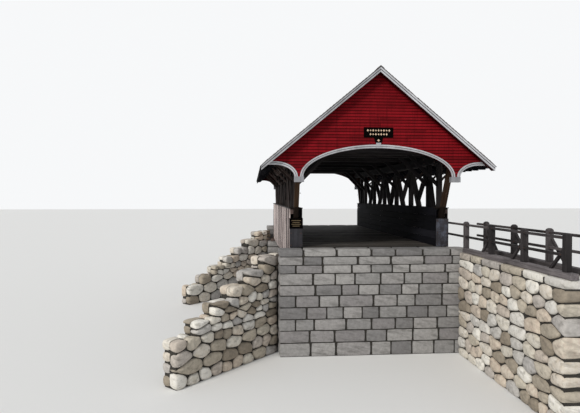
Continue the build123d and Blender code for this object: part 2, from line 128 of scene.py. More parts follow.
class Graph:
    """The node tree of one material, with short calls for the nodes that the finishes use."""

    def __init__(self, name: str) -> None:
        """Start an empty material.

        Args:
            name: The material's name.
        """
        self.material = bpy.data.materials.new(name)
        self.material.use_nodes = True
        self.tree = self.material.node_tree
        self.tree.nodes.clear()
        self.shader = self.add("ShaderNodeBsdfPrincipled")
        output = self.add("ShaderNodeOutputMaterial")
        self.link(self.shader.outputs["BSDF"], output.inputs["Surface"])

    def add(self, kind: str, **settings: object) -> bpy.types.Node:
        """Add a node.

        Args:
            kind: The node's Blender type.
            settings: Properties to set on the node.

        Returns:
            The new node.
        """
        node = self.tree.nodes.new(kind)
        for key, value in settings.items():
            setattr(node, key, value)
        return node

    def link(self, source: Socket, target: Socket) -> None:
        """Join an output to an input."""
        self.tree.links.new(source, target)

    def feed(self, target: Socket, value: object) -> None:
        """Give an input a value or a link.

        Args:
            target: The input.
            value: A number, a colour, a vector or an output socket.
        """
        if isinstance(value, Socket):
            self.link(value, target)
        elif isinstance(value, tuple) and len(value) == 3 and target.type == "RGBA":
            target.default_value = (*value, 1.0)
        else:
            target.default_value = value

    def place(self) -> Socket:
        """The Object coordinates of the piece."""
        return self.add("ShaderNodeTexCoord").outputs["Object"]

    def axis(self, name: str) -> Socket:
        """One of the Object coordinates.

        Args:
            name: X, Y or Z.

        Returns:
            The number's socket.
        """
        parts = self.add("ShaderNodeSeparateXYZ")
        self.link(self.place(), parts.inputs[0])
        return parts.outputs[name]

    def math(self, operation: str, a: object, b: object = 0.0) -> Socket:
        """A sum on two values.

        Args:
            operation: Blender's name for the sum.
            a: The first value.
            b: The second value.

        Returns:
            The result's socket.
        """
        node = self.add("ShaderNodeMath", operation=operation)
        self.feed(node.inputs[0], a)
        self.feed(node.inputs[1], b)
        return node.outputs[0]

    def vector(self, operation: str, a: object, b: object) -> Socket:
        """A sum on a vector and a second value, which is a number where the vector is scaled.

        Args:
            operation: Blender's name for the sum.
            a: The vector.
            b: The second value.

        Returns:
            The result's socket.
        """
        node = self.add("ShaderNodeVectorMath", operation=operation)
        self.feed(node.inputs[0], a)
        self.feed(node.inputs["Scale" if operation == "SCALE" else 1], b)
        return node.outputs["Value" if operation == "DOT_PRODUCT" else "Vector"]

    def grained(self, length: float, width: float) -> Socket:
        """Coordinates drawn out along the grain of each timber, and different in every one.

        Args:
            length: The length of one unit of the pattern along the grain.
            width: Its length across the grain.

        Returns:
            The coordinates.
        """
        place = self.place()
        grain = self.add("ShaderNodeAttribute", attribute_name=GRAIN).outputs["Vector"]
        along = self.vector("DOT_PRODUCT", place, grain)
        pull = self.math("MULTIPLY", along, 1.0 / length - 1.0 / width)
        drawn = self.vector("SCALE", grain, pull)
        fine = self.vector("SCALE", place, 1.0 / width)
        own = self.vector("SCALE", TONE_SHIFT, self.shade())
        return self.vector("ADD", self.vector("ADD", fine, drawn), own)

    def turned(self, vector: Socket, rotation: Sequence[float], size: Sequence[float]) -> Socket:
        """Turn a pattern and set its size on each axis.

        Args:
            vector: The coordinates.
            rotation: The turn that is taken out of the coordinates.
            size: The length of one unit of the pattern on each turned axis.

        Returns:
            The new coordinates.
        """
        node = self.add("ShaderNodeMapping", vector_type="TEXTURE")
        self.link(vector, node.inputs["Vector"])
        node.inputs["Rotation"].default_value = rotation
        node.inputs["Scale"].default_value = size
        return node.outputs[0]

    def noise(
        self, vector: Socket, scale: float, detail: float = 4.0, rough: float = 0.55
    ) -> Socket:
        """A noise from 0 to 1.

        Args:
            vector: The coordinates.
            scale: Its frequency.
            detail: How many octaves it has.
            rough: How strong the fine octaves are.

        Returns:
            The noise's value.
        """
        node = self.add("ShaderNodeTexNoise")
        self.link(vector, node.inputs["Vector"])
        node.inputs["Scale"].default_value = scale
        node.inputs["Detail"].default_value = detail
        node.inputs["Roughness"].default_value = rough
        return node.outputs["Fac"]

    def shade(self) -> Socket:
        """The tone that each board or stone was given when it was made."""
        return self.add("ShaderNodeAttribute", attribute_name=SHADE).outputs["Fac"]

    def ramp(
        self, value: Socket, stops: Sequence[tuple[float, Colour]]
    ) -> Socket:
        """A colour that follows a value.

        Args:
            value: The value, from 0 to 1.
            stops: Places and colours.

        Returns:
            The colour's socket.
        """
        node = self.add("ShaderNodeValToRGB")
        self.link(value, node.inputs[0])
        band = node.color_ramp
        while len(band.elements) < len(stops):
            band.elements.new(1.0)
        for element, (place, colour) in zip(band.elements, stops):
            element.position = place
            element.color = (*colour, 1.0)
        return node.outputs[0]

    def mix(self, factor: object, a: object, b: object, blend: str = "MIX") -> Socket:
        """A mix of two colours.

        Args:
            factor: How much of the second.
            a: The first colour.
            b: The second colour.
            blend: Blender's name for the kind of mix.

        Returns:
            The mixed colour's socket.
        """
        node = self.add("ShaderNodeMix", data_type="RGBA", blend_type=blend)
        colours = [s for s in node.inputs if s.type == "RGBA"]
        self.feed(node.inputs["Factor"], factor)
        self.feed(colours[0], a)
        self.feed(colours[1], b)
        return next(s for s in node.outputs if s.type == "RGBA")

    def span(
        self, value: object, low: float, high: float, to_low: float, to_high: float
    ) -> Socket:
        """A value moved from one span to another and held inside it.

        Args:
            value: The value.
            low: Where its span starts.
            high: Where its span ends.
            to_low: What the start becomes.
            to_high: What the end becomes.

        Returns:
            The new value's socket.
        """
        node = self.add("ShaderNodeMapRange")
        self.feed(node.inputs["Value"], value)
        for name, number in zip(
            ("From Min", "From Max", "To Min", "To Max"), (low, high, to_low, to_high)
        ):
            node.inputs[name].default_value = number
        return node.outputs[0]

    def bump(
        self,
        height: Socket,
        distance: float,
        strength: float = 1.0,
        under: Optional[Socket] = None,
    ) -> Socket:
        """Raise the surface by a height.

        Args:
            height: The height, from 0 to 1.
            distance: How far 1 stands out, in metres.
            strength: How much of it shows.
            under: Another bump that this one is laid over.

        Returns:
            The new normal.
        """
        node = self.add("ShaderNodeBump")
        node.inputs["Distance"].default_value = distance
        node.inputs["Strength"].default_value = strength
        self.link(height, node.inputs["Height"])
        if under is not None:
            self.link(under, node.inputs["Normal"])
        return node.outputs[0]

    def finish(
        self,
        colour: object,
        roughness: object,
        normal: Optional[Socket] = None,
        metallic: float = 0.0,
    ) -> bpy.types.Material:
        """Feed the shader and hand over the material.

        Args:
            colour: The surface's colour.
            roughness: Its roughness.
            normal: Its normal, if it is bumped.
            metallic: 1 for bare metal.

        Returns:
            The finished material.
        """
        self.feed(self.shader.inputs["Base Color"], colour)
        self.feed(self.shader.inputs["Roughness"], roughness)
        self.shader.inputs["Metallic"].default_value = metallic
        if normal is not None:
            self.link(normal, self.shader.inputs["Normal"])
        return self.material


@dataclass(frozen=True)
class BareTimber:
    """Unpainted wood: streaks along the grain, blotches, checks and a tone for each board, with painted
    shade below a height and painted light on the outer faces where asked.
    """

    name: str
    dark: Colour
    middle: Colour
    light: Colour
    streak: float = 0.012
    streak_length: float = 0.5
    roughness: float = 0.82
    relief: float = 0.0035
    spread: float = 0.16
    sheen: float = 0.25
    contrast: float = 1.0
    # A height below which the wood is darkened, as painted shade.
    dark_below: Optional[float] = None
    # Lighter colours for the faces beyond outside_from: painted sunlight on the outer faces.
    outside: tuple[Colour, ...] = ()
    outside_from: float = 0.0

    def material(self) -> bpy.types.Material:
        """Build the material.

        Returns:
            The material.
        """
        g = Graph(self.name)
        fine = g.noise(g.grained(self.streak_length, self.streak), 1.0, 5.0, 0.6)
        wide = g.noise(g.grained(self.streak_length * 2.5, 0.07), 1.0, 3.0)
        blotch = g.noise(g.place(), 1.3, 3.0)
        level = g.math("ADD", g.math("MULTIPLY", fine, 0.45), g.math("MULTIPLY", wide, 0.35))
        level = g.math("ADD", level, g.math("MULTIPLY", blotch, 0.2))
        level = g.math("ADD", level, g.span(g.shade(), 0.0, 1.0, -self.spread, self.spread))
        stops = (0.5 - 0.20 / self.contrast, 0.5, 0.5 + 0.22 / self.contrast)
        colour = g.ramp(level, list(zip(stops, (self.dark, self.middle, self.light))))
        # Painted light: faces further from the road's middle than outside_from take the lighter outside
        # colours, for the sun on the trusses' outer faces.
        if self.outside:
            sunlit = g.ramp(level, list(zip(stops, self.outside)))
            across = g.math("ABSOLUTE", g.axis("X"))
            share = g.span(across, self.outside_from, self.outside_from + 0.08, 0.0, 1.0)
            colour = g.mix(share, colour, sunlit)
        checks = g.noise(g.grained(self.streak_length * 1.4, 0.02), 1.0, 2.0)
        crack = g.span(checks, 0.30, 0.37, 0.0, 1.0)
        colour = g.mix(g.span(crack, 0.0, 1.0, 0.65, 0.0), colour, self.dark)
        low_normal = g.bump(crack, self.relief * 1.5, 0.7)
        normal = g.bump(fine, self.relief, 0.8, low_normal)
        rough = g.span(fine, 0.2, 0.8, self.roughness - 0.1, min(1.0, self.roughness + 0.08))
        g.shader.inputs["Specular IOR Level"].default_value = self.sheen
        # Painted shade: below dark_below the wood darkens, for the shade inside the end boxes.
        if self.dark_below is not None:
            shaded_foot = g.span(g.axis("Z"), self.dark_below - 0.04, self.dark_below, 0.85, 0.0)
            colour = g.mix(shaded_foot, colour, tuple(c * 0.3 for c in self.dark))
        return g.finish(colour, rough, normal)


@dataclass(frozen=True)
class Paint:
    """Old paint on wood: faint grain, a tone for each board, painted shade under the laps, drips of dirt
    and worn patches.
    """

    name: str
    colour: Colour
    worn: Colour
    # The colour of dirt drips, and of the painted shade under the laps.
    dirt: Colour
    wear: float = 0.25
    roughness: float = 0.5
    soiled: float = 0.45
    sheen: float = 0.35
    # Patches of the lighter worn colour, growing towards the right-hand side as painted sky light.
    mottled: float = 0.0
    # The height of the lapped courses and of their foot, for the painted shade under each board's butt.
    lap: float = 0.0
    lap_foot: float = 0.0

    def material(self) -> bpy.types.Material:
        """Build the material.

        Returns:
            The material.
        """
        g = Graph(self.name)
        place = g.place()
        fine = g.noise(g.grained(0.35, 0.009), 1.0, 4.0, 0.6)
        patch = g.noise(place, 2.2, 5.0, 0.6)
        level = g.math("ADD", g.span(patch, 0.3, 0.7, -0.5, 0.5), g.span(g.shade(), 0.0, 1.0, -0.5, 0.5))
        darker = tuple(c * 0.66 for c in self.colour)
        lighter = tuple(min(1.0, c * 1.26) for c in self.colour)
        stops = [(0.15, darker), (0.5, self.colour), (0.85, lighter)]
        colour = g.ramp(g.span(level, -1.0, 1.0, 0.0, 1.0), stops)
        wear = g.math("MULTIPLY", g.span(fine, 0.56, 0.72, 0.0, 1.0), g.span(patch, 0.45, 0.7, 0.0, 1.0))
        colour = g.mix(g.math("MULTIPLY", wear, self.wear), colour, self.worn)
        # Patches of the worn colour, stronger towards +X: partly wear, partly painted sky light on the
        # right-hand panels.
        if self.mottled > 0:
            cloud = g.span(g.noise(place, 7.0, 6.0, 0.7), 0.45, 0.68, 0.0, self.mottled)
            share = g.math("MULTIPLY", cloud, g.span(g.axis("X"), -1.0, 1.0, 0.1, 1.0))
            colour = g.mix(share, colour, self.worn)
        drips = g.noise(g.turned(place, (0.0, 0.0, 0.0), (0.05, 0.05, 0.8)), 1.0, 4.0)
        soil = g.span(drips, 0.52, 0.75, 0.0, self.soiled)
        colour = g.mix(soil, colour, self.dirt)
        # Painted shade: each course darkens towards its top, where the butt of the board above casts its
        # shadow.
        if self.lap > 0:
            courses = g.math("DIVIDE", g.math("SUBTRACT", g.axis("Z"), self.lap_foot), self.lap)
            share = g.math("FRACT", courses)
            colour = g.mix(g.span(share, 0.66, 0.86, 0.0, 0.8), colour, self.dirt)
        rough = g.span(patch, 0.25, 0.75, self.roughness - 0.08, self.roughness + 0.16)
        normal = g.bump(fine, 0.0018, 0.7)
        g.shader.inputs["Specular IOR Level"].default_value = self.sheen
        return g.finish(colour, rough, normal)


@dataclass(frozen=True)
class Stone:
    """Laid stone: a tone for each stone, mottling, grains and stains."""

    name: str
    tones: tuple[Colour, ...]
    stain: Colour
    grain: float = 0.012
    relief: float = 0.012
    stained: float = 0.5

    def material(self) -> bpy.types.Material:
        """Build the material.

        Returns:
            The material.
        """
        g = Graph(self.name)
        place = g.place()
        last = len(self.tones) - 1
        stops = [(0.08 + 0.84 * i / last, colour) for i, colour in enumerate(self.tones)]
        base = g.ramp(g.shade(), stops)
        mottle = g.noise(place, 9.0, 6.0, 0.65)
        grey = g.ramp(mottle, [(0.3, (0.35, 0.35, 0.35)), (0.7, (0.75, 0.75, 0.75))])
        base = g.mix(0.55, base, grey, "OVERLAY")
        specks = g.add("ShaderNodeTexVoronoi", feature="F1")
        g.link(place, specks.inputs["Vector"])
        specks.inputs["Scale"].default_value = 1.0 / self.grain
        base = g.mix(g.span(specks.outputs["Distance"], 0.0, 0.35, 0.3, 0.0), base, self.stain)
        streaks = g.noise(g.turned(place, (0.4, 0.2, 0.0), (0.5, 0.16, 0.1)), 1.0, 5.0)
        base = g.mix(g.span(streaks, 0.5, 0.72, 0.0, self.stained), base, self.stain)
        coarse = g.noise(place, 14.0, 8.0, 0.6)
        under = g.bump(coarse, self.relief, 1.0)
        normal = g.bump(g.noise(place, 90.0, 3.0), self.relief * 0.2, 0.6, under)
        return g.finish(base, g.span(mottle, 0.2, 0.8, 0.78, 0.95), normal)


@dataclass(frozen=True)
class Iron:
    """Old iron: dark, with rust in patches."""

    name: str
    colour: Colour = (0.035, 0.03, 0.028)
    rust: Colour = (0.11, 0.04, 0.018)

    def material(self) -> bpy.types.Material:
        """Build the material.

        Returns:
            The material.
        """
        g = Graph(self.name)
        patch = g.noise(g.place(), 60.0, 5.0)
        colour = g.ramp(patch, [(0.4, self.colour), (0.62, self.rust)])
        normal = g.bump(patch, 0.0008)
        return g.finish(colour, g.span(patch, 0.3, 0.7, 0.5, 0.85), normal, 0.4)


@dataclass(frozen=True)
class PlainFloor:
    """A pale floor that looks white to the camera and keeps its shadows."""

    name: str
    colour: Colour = (0.80, 0.80, 0.79)

    def material(self) -> bpy.types.Material:
        """Build the material."""
        return Graph(self.name).finish(self.colour, 0.9)


class Finish(Enum):
    """The finishes of the bridge, each with the recipe of its material, in linear colours."""

    # Painted shade and light: the dark colours stand for the shade inside the bridge, and the outside
    # colours paint the sun on the trusses' outer faces.
    OLD_TIMBER = BareTimber(
        "old_timber",
        (0.004, 0.0035, 0.004),
        (0.014, 0.012, 0.013),
        (0.046, 0.040, 0.038),
        sheen=0.12,
        outside=((0.014, 0.009, 0.008), (0.055, 0.038, 0.033), (0.17, 0.125, 0.115)),
        outside_from=-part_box("left_outer_boarding")[1].x - 0.16,
    )
    SHADED_TIMBER = BareTimber(
        "shaded_timber", (0.002, 0.002, 0.003), (0.006, 0.006, 0.009), (0.020, 0.020, 0.026), sheen=0.08
    )
    BROWN_TIMBER = BareTimber(
        "brown_timber",
        (0.008, 0.004, 0.002),
        (0.024, 0.012, 0.007),
        (0.062, 0.036, 0.020),
        sheen=0.15,
        # The end posts darken below the lids of the end boxes: painted shade.
        dark_below=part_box("left_end_boxes")[1].z + 0.05,
    )
    # Painted light: the bright light colour, the high contrast and the wide spread of tones paint dappled
    # sunlight and shade over the boards' own weathered tones.
    SIDE_BOARDS = BareTimber(
        "side_boards",
        (0.022, 0.015, 0.015),
        (0.115, 0.084, 0.082),
        (0.76, 0.655, 0.625),
        streak=0.020,
        streak_length=0.8,
        relief=0.006,
        spread=0.13,
        contrast=1.9,
    )
    RAIL_TIMBER = BareTimber(
        "rail_timber", (0.009, 0.008, 0.008), (0.032, 0.028, 0.029), (0.11, 0.098, 0.10)
    )
    SILL_TIMBER = BareTimber(
        "sill_timber", (0.030, 0.026, 0.027), (0.095, 0.085, 0.088), (0.25, 0.225, 0.23)
    )
    FLOOR_PLANKS = BareTimber(
        "floor_planks", (0.014, 0.012, 0.011), (0.050, 0.044, 0.039), (0.13, 0.115, 0.10)
    )
    SHINGLES = BareTimber(
        "roof_shingles",
        (0.030, 0.027, 0.025),
        (0.085, 0.076, 0.070),
        (0.20, 0.185, 0.17),
        streak=0.010,
        streak_length=0.3,
        spread=0.11,
    )
    RED_PAINT = Paint(
        "red_paint",
        (0.185, 0.005, 0.009),
        (0.28, 0.05, 0.055),
        (0.028, 0.001, 0.001),
        wear=0.3,
        roughness=0.6,
        sheen=0.06,
        # Painted shade under the laps of the gable boards.
        lap=COURSE,
        lap_foot=GABLE_FOOT,
    )
    RED_SHADED = Paint(
        "red_paint_shaded", (0.030, 0.0015, 0.002), (0.05, 0.01, 0.01), (0.008, 0.002, 0.002), sheen=0.06
    )
    WHITE_PAINT = Paint(
        "white_paint",
        (0.47, 0.475, 0.50),
        (0.28, 0.26, 0.24),
        (0.20, 0.20, 0.205),
        wear=0.5,
        sheen=0.2,
    )
    # The white trim paint made darker for the capitals: painted shade.
    CAPITAL_PAINT = Paint(
        "capital_paint",
        (0.33, 0.335, 0.36),
        (0.22, 0.21, 0.20),
        (0.15, 0.15, 0.155),
        wear=0.4,
        sheen=0.2,
    )
    # Painted shadow: the dark paint of the strips that stand for the shade in the grooves of the trim and
    # the rakes.
    GROOVE_DIRT = Paint(
        "trim_groove",
        (0.016, 0.014, 0.014),
        (0.05, 0.045, 0.045),
        (0.008, 0.008, 0.008),
        wear=0.2,
        roughness=0.8,
        sheen=0.05,
    )
    # Painted shade: the guard panels' grey is darker than their paint, for the shade they stand in, and
    # their lighter patches grow to the right as painted sky light.
    GREY_PAINT = Paint(
        "grey_paint",
        (0.036, 0.034, 0.039),
        (0.13, 0.145, 0.19),
        (0.010, 0.011, 0.014),
        wear=0.3,
        soiled=0.6,
        sheen=0.2,
        mottled=0.7,
    )
    BLACK_PAINT = Paint(
        "black_paint",
        (0.002, 0.0015, 0.0015),
        (0.01, 0.009, 0.008),
        (0.001, 0.001, 0.001),
        wear=0.1,
        roughness=0.8,
        soiled=0.3,
        sheen=0.02,
    )
    GOLD_PAINT = Paint("gold_paint", (0.62, 0.46, 0.32), (0.30, 0.22, 0.15), (0.2, 0.14, 0.09))
    DIM_GOLD = Paint("dim_gold", (0.16, 0.115, 0.06), (0.08, 0.06, 0.03), (0.03, 0.02, 0.012))
    FIELDSTONE = Stone(
        "fieldstone",
        (
            (0.26, 0.22, 0.17),
            (0.48, 0.43, 0.35),
            (0.68, 0.64, 0.56),
            (0.56, 0.47, 0.38),
            (0.40, 0.385, 0.37),
            (0.78, 0.75, 0.68),
        ),
        (0.085, 0.075, 0.06),
    )
    CUT_STONE = Stone(
        "cut_stone",
        ((0.17, 0.165, 0.165), (0.25, 0.245, 0.24), (0.33, 0.32, 0.31), (0.21, 0.20, 0.20)),
        (0.08, 0.078, 0.072),
        stained=0.6,
    )
    HEARTING = Stone(
        "hearting", ((0.025, 0.022, 0.018), (0.05, 0.045, 0.038)), (0.012, 0.011, 0.009)
    )
    IRON = Iron("old_iron")
    STUDIO_FLOOR = PlainFloor("plain_floor")

    @cache
    def material(self) -> bpy.types.Material:
        """The finish's material, built the first time it is asked for."""
        return self.value.material()


# Mesh work


def new_mesh() -> Mesh:
    """An empty bmesh that keeps a tone and the way of the grain for each face.

    Returns:
        The mesh.
    """
    bm = bmesh.new()
    bm.faces.layers.float.new(SHADE)
    bm.faces.layers.float_vector.new(GRAIN)
    return bm


def tone(
    bm: Mesh, faces: Iterable[bmesh.types.BMFace], value: float, grain: Sequence[float] = ACROSS
) -> None:
    """Give faces a tone and a grain.

    Args:
        bm: The mesh.
        faces: The faces.
        value: The tone, from 0 to 1.
        grain: The way the grain runs.
    """
    shades = bm.faces.layers.float[SHADE]
    grains = bm.faces.layers.float_vector[GRAIN]
    for face in faces:
        face[shades] = value
        face[grains] = grain


def round_off(
    bm: Mesh, edges: list[bmesh.types.BMEdge], offset: float, segments: int, clamp: bool = False
) -> None:
    """Take the sharpness off some edges.

    Args:
        bm: The mesh.
        edges: The edges.
        offset: How wide the bevel is on each side of an edge.
        segments: How many faces round it.
        clamp: Whether the bevels stop where they would meet.
    """
    bmesh.ops.bevel(
        bm,
        geom=edges,
        offset=offset,
        offset_type="OFFSET",
        segments=segments,
        profile=0.5,
        affect="EDGES",
        material=-1,
        clamp_overlap=clamp,
    )


def add_block(
    bm: Mesh, size: Sequence[float], matrix: Matrix, value: float, bevel: float = 0.0
) -> None:
    """Add a board or block.

    Args:
        bm: The mesh.
        size: Its length on each of its own axes.
        matrix: Where its middle goes, and its turn.
        value: Its tone.
        bevel: How much its edges are eased.
    """
    scale = Matrix.Diagonal((*size, 1.0))
    made = bmesh.ops.create_cube(bm, size=1.0, matrix=matrix @ scale)
    verts = made["verts"]
    faces = {face for vert in verts for face in vert.link_faces}
    longest = max(range(3), key=lambda i: size[i])
    tone(bm, faces, value, matrix.to_3x3().col[longest].normalized())
    if bevel > 0:
        round_off(bm, list(dict.fromkeys(edge for vert in verts for edge in vert.link_edges)), bevel, 1)


def between(low: Vector, high: Vector) -> tuple[Vector, Matrix]:
    """The size and the place of a block between two corners."""
    return high - low, Matrix.Translation((low + high) / 2)


def lengths(
    rng: random.Random, start: float, stop: float, span: Span, least: float
) -> Iterator[Span]:
    """Share a run out into pieces of random length.

    Args:
        rng: The random numbers.
        start: Where the run starts.
        stop: Where it ends.
        span: The shortest and the longest piece.
        least: A rest that is shorter than this goes to the last piece.

    Yields:
        Where each piece starts and ends.
    """
    while start < stop:
        end = start + rng.uniform(*span)
        if stop - end < least:
            end = stop
        yield start, end
        start = end


def box_of(faces: Iterable[bmesh.types.BMFace]) -> BoxPair:
    """The low and the high corner of some faces.

    Args:
        faces: The faces.

    Returns:
        The two corners.
    """
    points = [vert.co for face in faces for vert in face.verts]
    low, high = (Vector(pick(point[i] for point in points) for i in range(3)) for pick in (min, max))
    return low, high


def islands(bm: Mesh) -> list[list[bmesh.types.BMFace]]:
    """The separate solids of a mesh.

    Args:
        bm: The mesh.

    Returns:
        Their faces, one list for each.
    """
    seen = set()
    found = []
    for first in bm.faces:
        if first in seen:
            continue
        seen.add(first)
        group = [first]
        for face in group:
            for edge in face.edges:
                for other in edge.link_faces:
                    if other not in seen:
                        seen.add(other)
                        group.append(other)
        found.append(group)
    return found


def skin(
    bm: Mesh, rings: Sequence[Sequence[Vector]], value: float, grain: Sequence[float]
) -> None:
    """Extrude a solid from one ring of corners to the next, and add it to a mesh.

    Args:
        bm: The mesh.
        rings: The rings, all of one length and in the same turn.
        value: The solid's tone.
        grain: The way its grain runs.
    """
    solid = new_mesh()
    # Taken backwards, the rings keep the lean of each side face's diagonal.
    backwards = [(ring[0], *ring[:0:-1]) for ring in rings]
    foot = [solid.verts.new(point) for point in backwards[0]]
    end = solid.faces.new(foot)
    for ring in backwards[1:]:
        end = bmesh.ops.extrude_discrete_faces(solid, faces=[end])["faces"][0]
        for vert, point in zip(end.verts, ring):
            vert.co = point
    solid.faces.new(foot[::-1])
    tone(solid, solid.faces, value, grain)
    mesh = bpy.data.meshes.new("solid")
    solid.to_mesh(mesh)
    solid.free()
    bm.from_mesh(mesh)
    bpy.data.meshes.remove(mesh)


def ribbon(bm: Mesh, inner: Sequence[Point], outer: Sequence[Point], y: Span) -> None:
    """A band on an upright face, between two lines of points in x and z.

    Args:
        bm: The mesh.
        inner: The line of one edge.
        outer: The line of the other edge, with as many points.
        y: Where the band starts and ends along the road.
    """
    turns = ((0, 0), (1, 0), (1, 1), (0, 1))
    rings = [
        [Vector((pair[i][0], y[j], pair[i][1])) for i, j in turns] for pair in zip(inner, outer)
    ]
    before = len(bm.faces)
    skin(bm, rings, 0.5, ACROSS)
    bm.faces.ensure_lookup_table()
    bmesh.ops.recalc_face_normals(bm, faces=bm.faces[before:])


def node_mesh(node: str, flat: float = 0.0) -> Mesh:
    """A copy of a node's mesh, with its corners welded.

    Args:
        node: The node.
        flat: Faces that meet under this angle, in radians, are joined.

    Returns:
        The mesh.
    """
    bm = new_mesh()
    bm.from_mesh(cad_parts[node].data)
    bmesh.ops.remove_doubles(bm, verts=bm.verts, dist=WELD)
    if flat > 0:
        bmesh.ops.dissolve_limit(bm, angle_limit=flat, verts=bm.verts, edges=bm.edges)
    return bm


def solids_of(node: str) -> list[BoxPair]:
    """The box of each solid of a node.

    Args:
        node: The node.

    Returns:
        The low and the high corner of each, sorted along the road.
    """
    bm = node_mesh(node)
    boxes = [box_of(group) for group in islands(bm)]
    bm.free()
    return sorted(boxes, key=lambda pair: (pair[0].y, pair[0].x))


def new_object(name: str, data: bpy.types.ID) -> bpy.types.Object:
    """Put an object into the scene.

    Args:
        name: Its name.
        data: Its mesh, lamp or camera.

    Returns:
        The object.
    """
    made = bpy.data.objects.new(name, data)
    bpy.context.scene.collection.objects.link(made)
    return made


def make_piece(
    name: str,
    bm: Mesh,
    finish: Finish,
    stands_for: Sequence[str] = (),
    smooth: float = 0.0,
) -> bpy.types.Object:
    """Turn a bmesh into a piece that rides on the bridge.

    Args:
        name: The piece's name.
        bm: Its mesh, which is used up.
        finish: Its finish.
        stands_for: The nodes that it replaces.
        smooth: The angle under which its faces are shaded as one, in degrees, or 0 for flat.

    Returns:
        The piece.
    """
    mesh = bpy.data.meshes.new(name)
    bm.to_mesh(mesh)
    bm.free()
    mesh.materials.append(finish.material())
    if smooth > 0:
        mesh.shade_smooth()
        mesh.set_sharp_from_angle(angle=math.radians(smooth))
    piece = new_object(name, mesh)
    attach(piece, BODY)
    if stands_for:
        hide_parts(*stands_for)
    LOG.info("%s: %d faces", name, len(mesh.polygons))
    return piece


@dataclass
class DressedTimbers:
    """Timbers whose shape the frame gives: each keeps its place and gets eased edges and its own tone."""

    ease: float = 0.006
    corner: float = 0.35
    seed: int = 11
    truss_parts: tuple[str, ...] = (
        "bottom_chord",
        "top_chord",
        "side_girt",
        "truss_posts",
        "counter_braces",
        "eave_struts",
    )

    def read(self, node: str) -> Mesh:
        """A node's mesh with each timber's tone and grain.

        Args:
            node: The node.

        Returns:
            The mesh.
        """
        rng = random.Random(f"{self.seed} {node}")
        bm = node_mesh(node, FLAT)
        for group in islands(bm):
            longest = max((edge for face in group for edge in face.edges), key=lambda e: e.calc_length())
            way = (longest.verts[1].co - longest.verts[0].co).normalized()
            tone(bm, group, rng.random(), way)
        return bm

    def ease_edges(self, bm: Mesh, width: float) -> None:
        """Round the edges of every timber a little."""
        edges = [e for e in bm.edges if e.is_manifold and e.calc_face_angle(0.0) > self.corner]
        round_off(bm, edges, width, 2, clamp=True)

    def dress(self, node: str, finish: Finish, width: Optional[float] = None) -> None:
        """Replace a node by a copy with eased edges.

        Args:
            node: The node.
            finish: Its finish.
            width: How much its edges are eased, where it isn't the usual.
        """
        bm = self.read(node)
        self.ease_edges(bm, self.ease if width is None else width)
        make_piece(f"{node}_timber", bm, finish, [node])

    def braces(self, side: Side) -> None:
        """The main braces of one truss, with the two of the middle panel as separate halved timbers.

        Args:
            side: Which truss.
        """
        node = f"{side.word}_main_braces"
        bm = self.read(node)
        cross = next(g for g in islands(bm) if box_of(g)[0].y < MID_SPAN < box_of(g)[1].y)
        low, high = box_of(cross)
        heights = {round(v.co.z, 4) for f in cross for v in f.verts if v.co.y < low.y + 0.001}
        foot, head = sorted(heights)[:2], sorted(heights)[-2:]
        bmesh.ops.delete(bm, geom=cross, context="FACES")
        for sunk, value, start, stop in ((0.0, 0.35, head, foot), (0.003, 0.53, foot, head)):
            ring = ((low.y, start[0]), (high.y, stop[0]), (high.y, stop[1]), (low.y, start[1]))
            way = Vector((0.0, high.y - low.y, stop[0] - start[0])).normalized()
            rings = [[Vector((x, y, z)) for y, z in ring] for x in (low.x + sunk, high.x - sunk)]
            skin(bm, rings, value, way)
        bmesh.ops.recalc_face_normals(bm, faces=bm.faces[:])
        self.ease_edges(bm, self.ease)
        make_piece(f"{node}_timber", bm, Finish.OLD_TIMBER, [node])

    def build(self) -> None:
        """Dress every timber that keeps its form."""
        for side in Side:
            word = side.word
            for part in self.truss_parts:
                self.dress(f"{word}_{part}", Finish.OLD_TIMBER)
            self.braces(side)
            self.dress(f"{word}_end_posts", Finish.BROWN_TIMBER)
            self.dress(f"{word}_end_boxes", Finish.BROWN_TIMBER, EDGE)
        for node in ("floor_beams", "tie_beams", "knee_braces", "lateral_braces", "bed_timbers"):
            self.dress(node, Finish.OLD_TIMBER)
        for node in ("rafters", "wall_plates", "ridge_board"):
            self.dress(node, Finish.SHADED_TIMBER)
        self.dress("rail_sills", Finish.SILL_TIMBER, 0.015)
        for node, width in (("rails", 0.008), ("rail_posts", 0.010), ("rail_braces", 0.008)):
            self.dress(node, Finish.RAIL_TIMBER, width)
        self.dress("guard_panels", Finish.GREY_PAINT, EDGE)
        self.dress("portal_capitals", Finish.CAPITAL_PAINT)
        for node in ("notice_board", "name_board"):
            self.dress(node, Finish.BLACK_PAINT, WORN_EDGE)
        for end in End:
            self.dress(f"{end.word}_rake_boards", Finish.WHITE_PAINT, WORN_EDGE)
            self.dress(f"{end.word}_rake_soffits", Finish.RED_SHADED, FINE_EDGE)


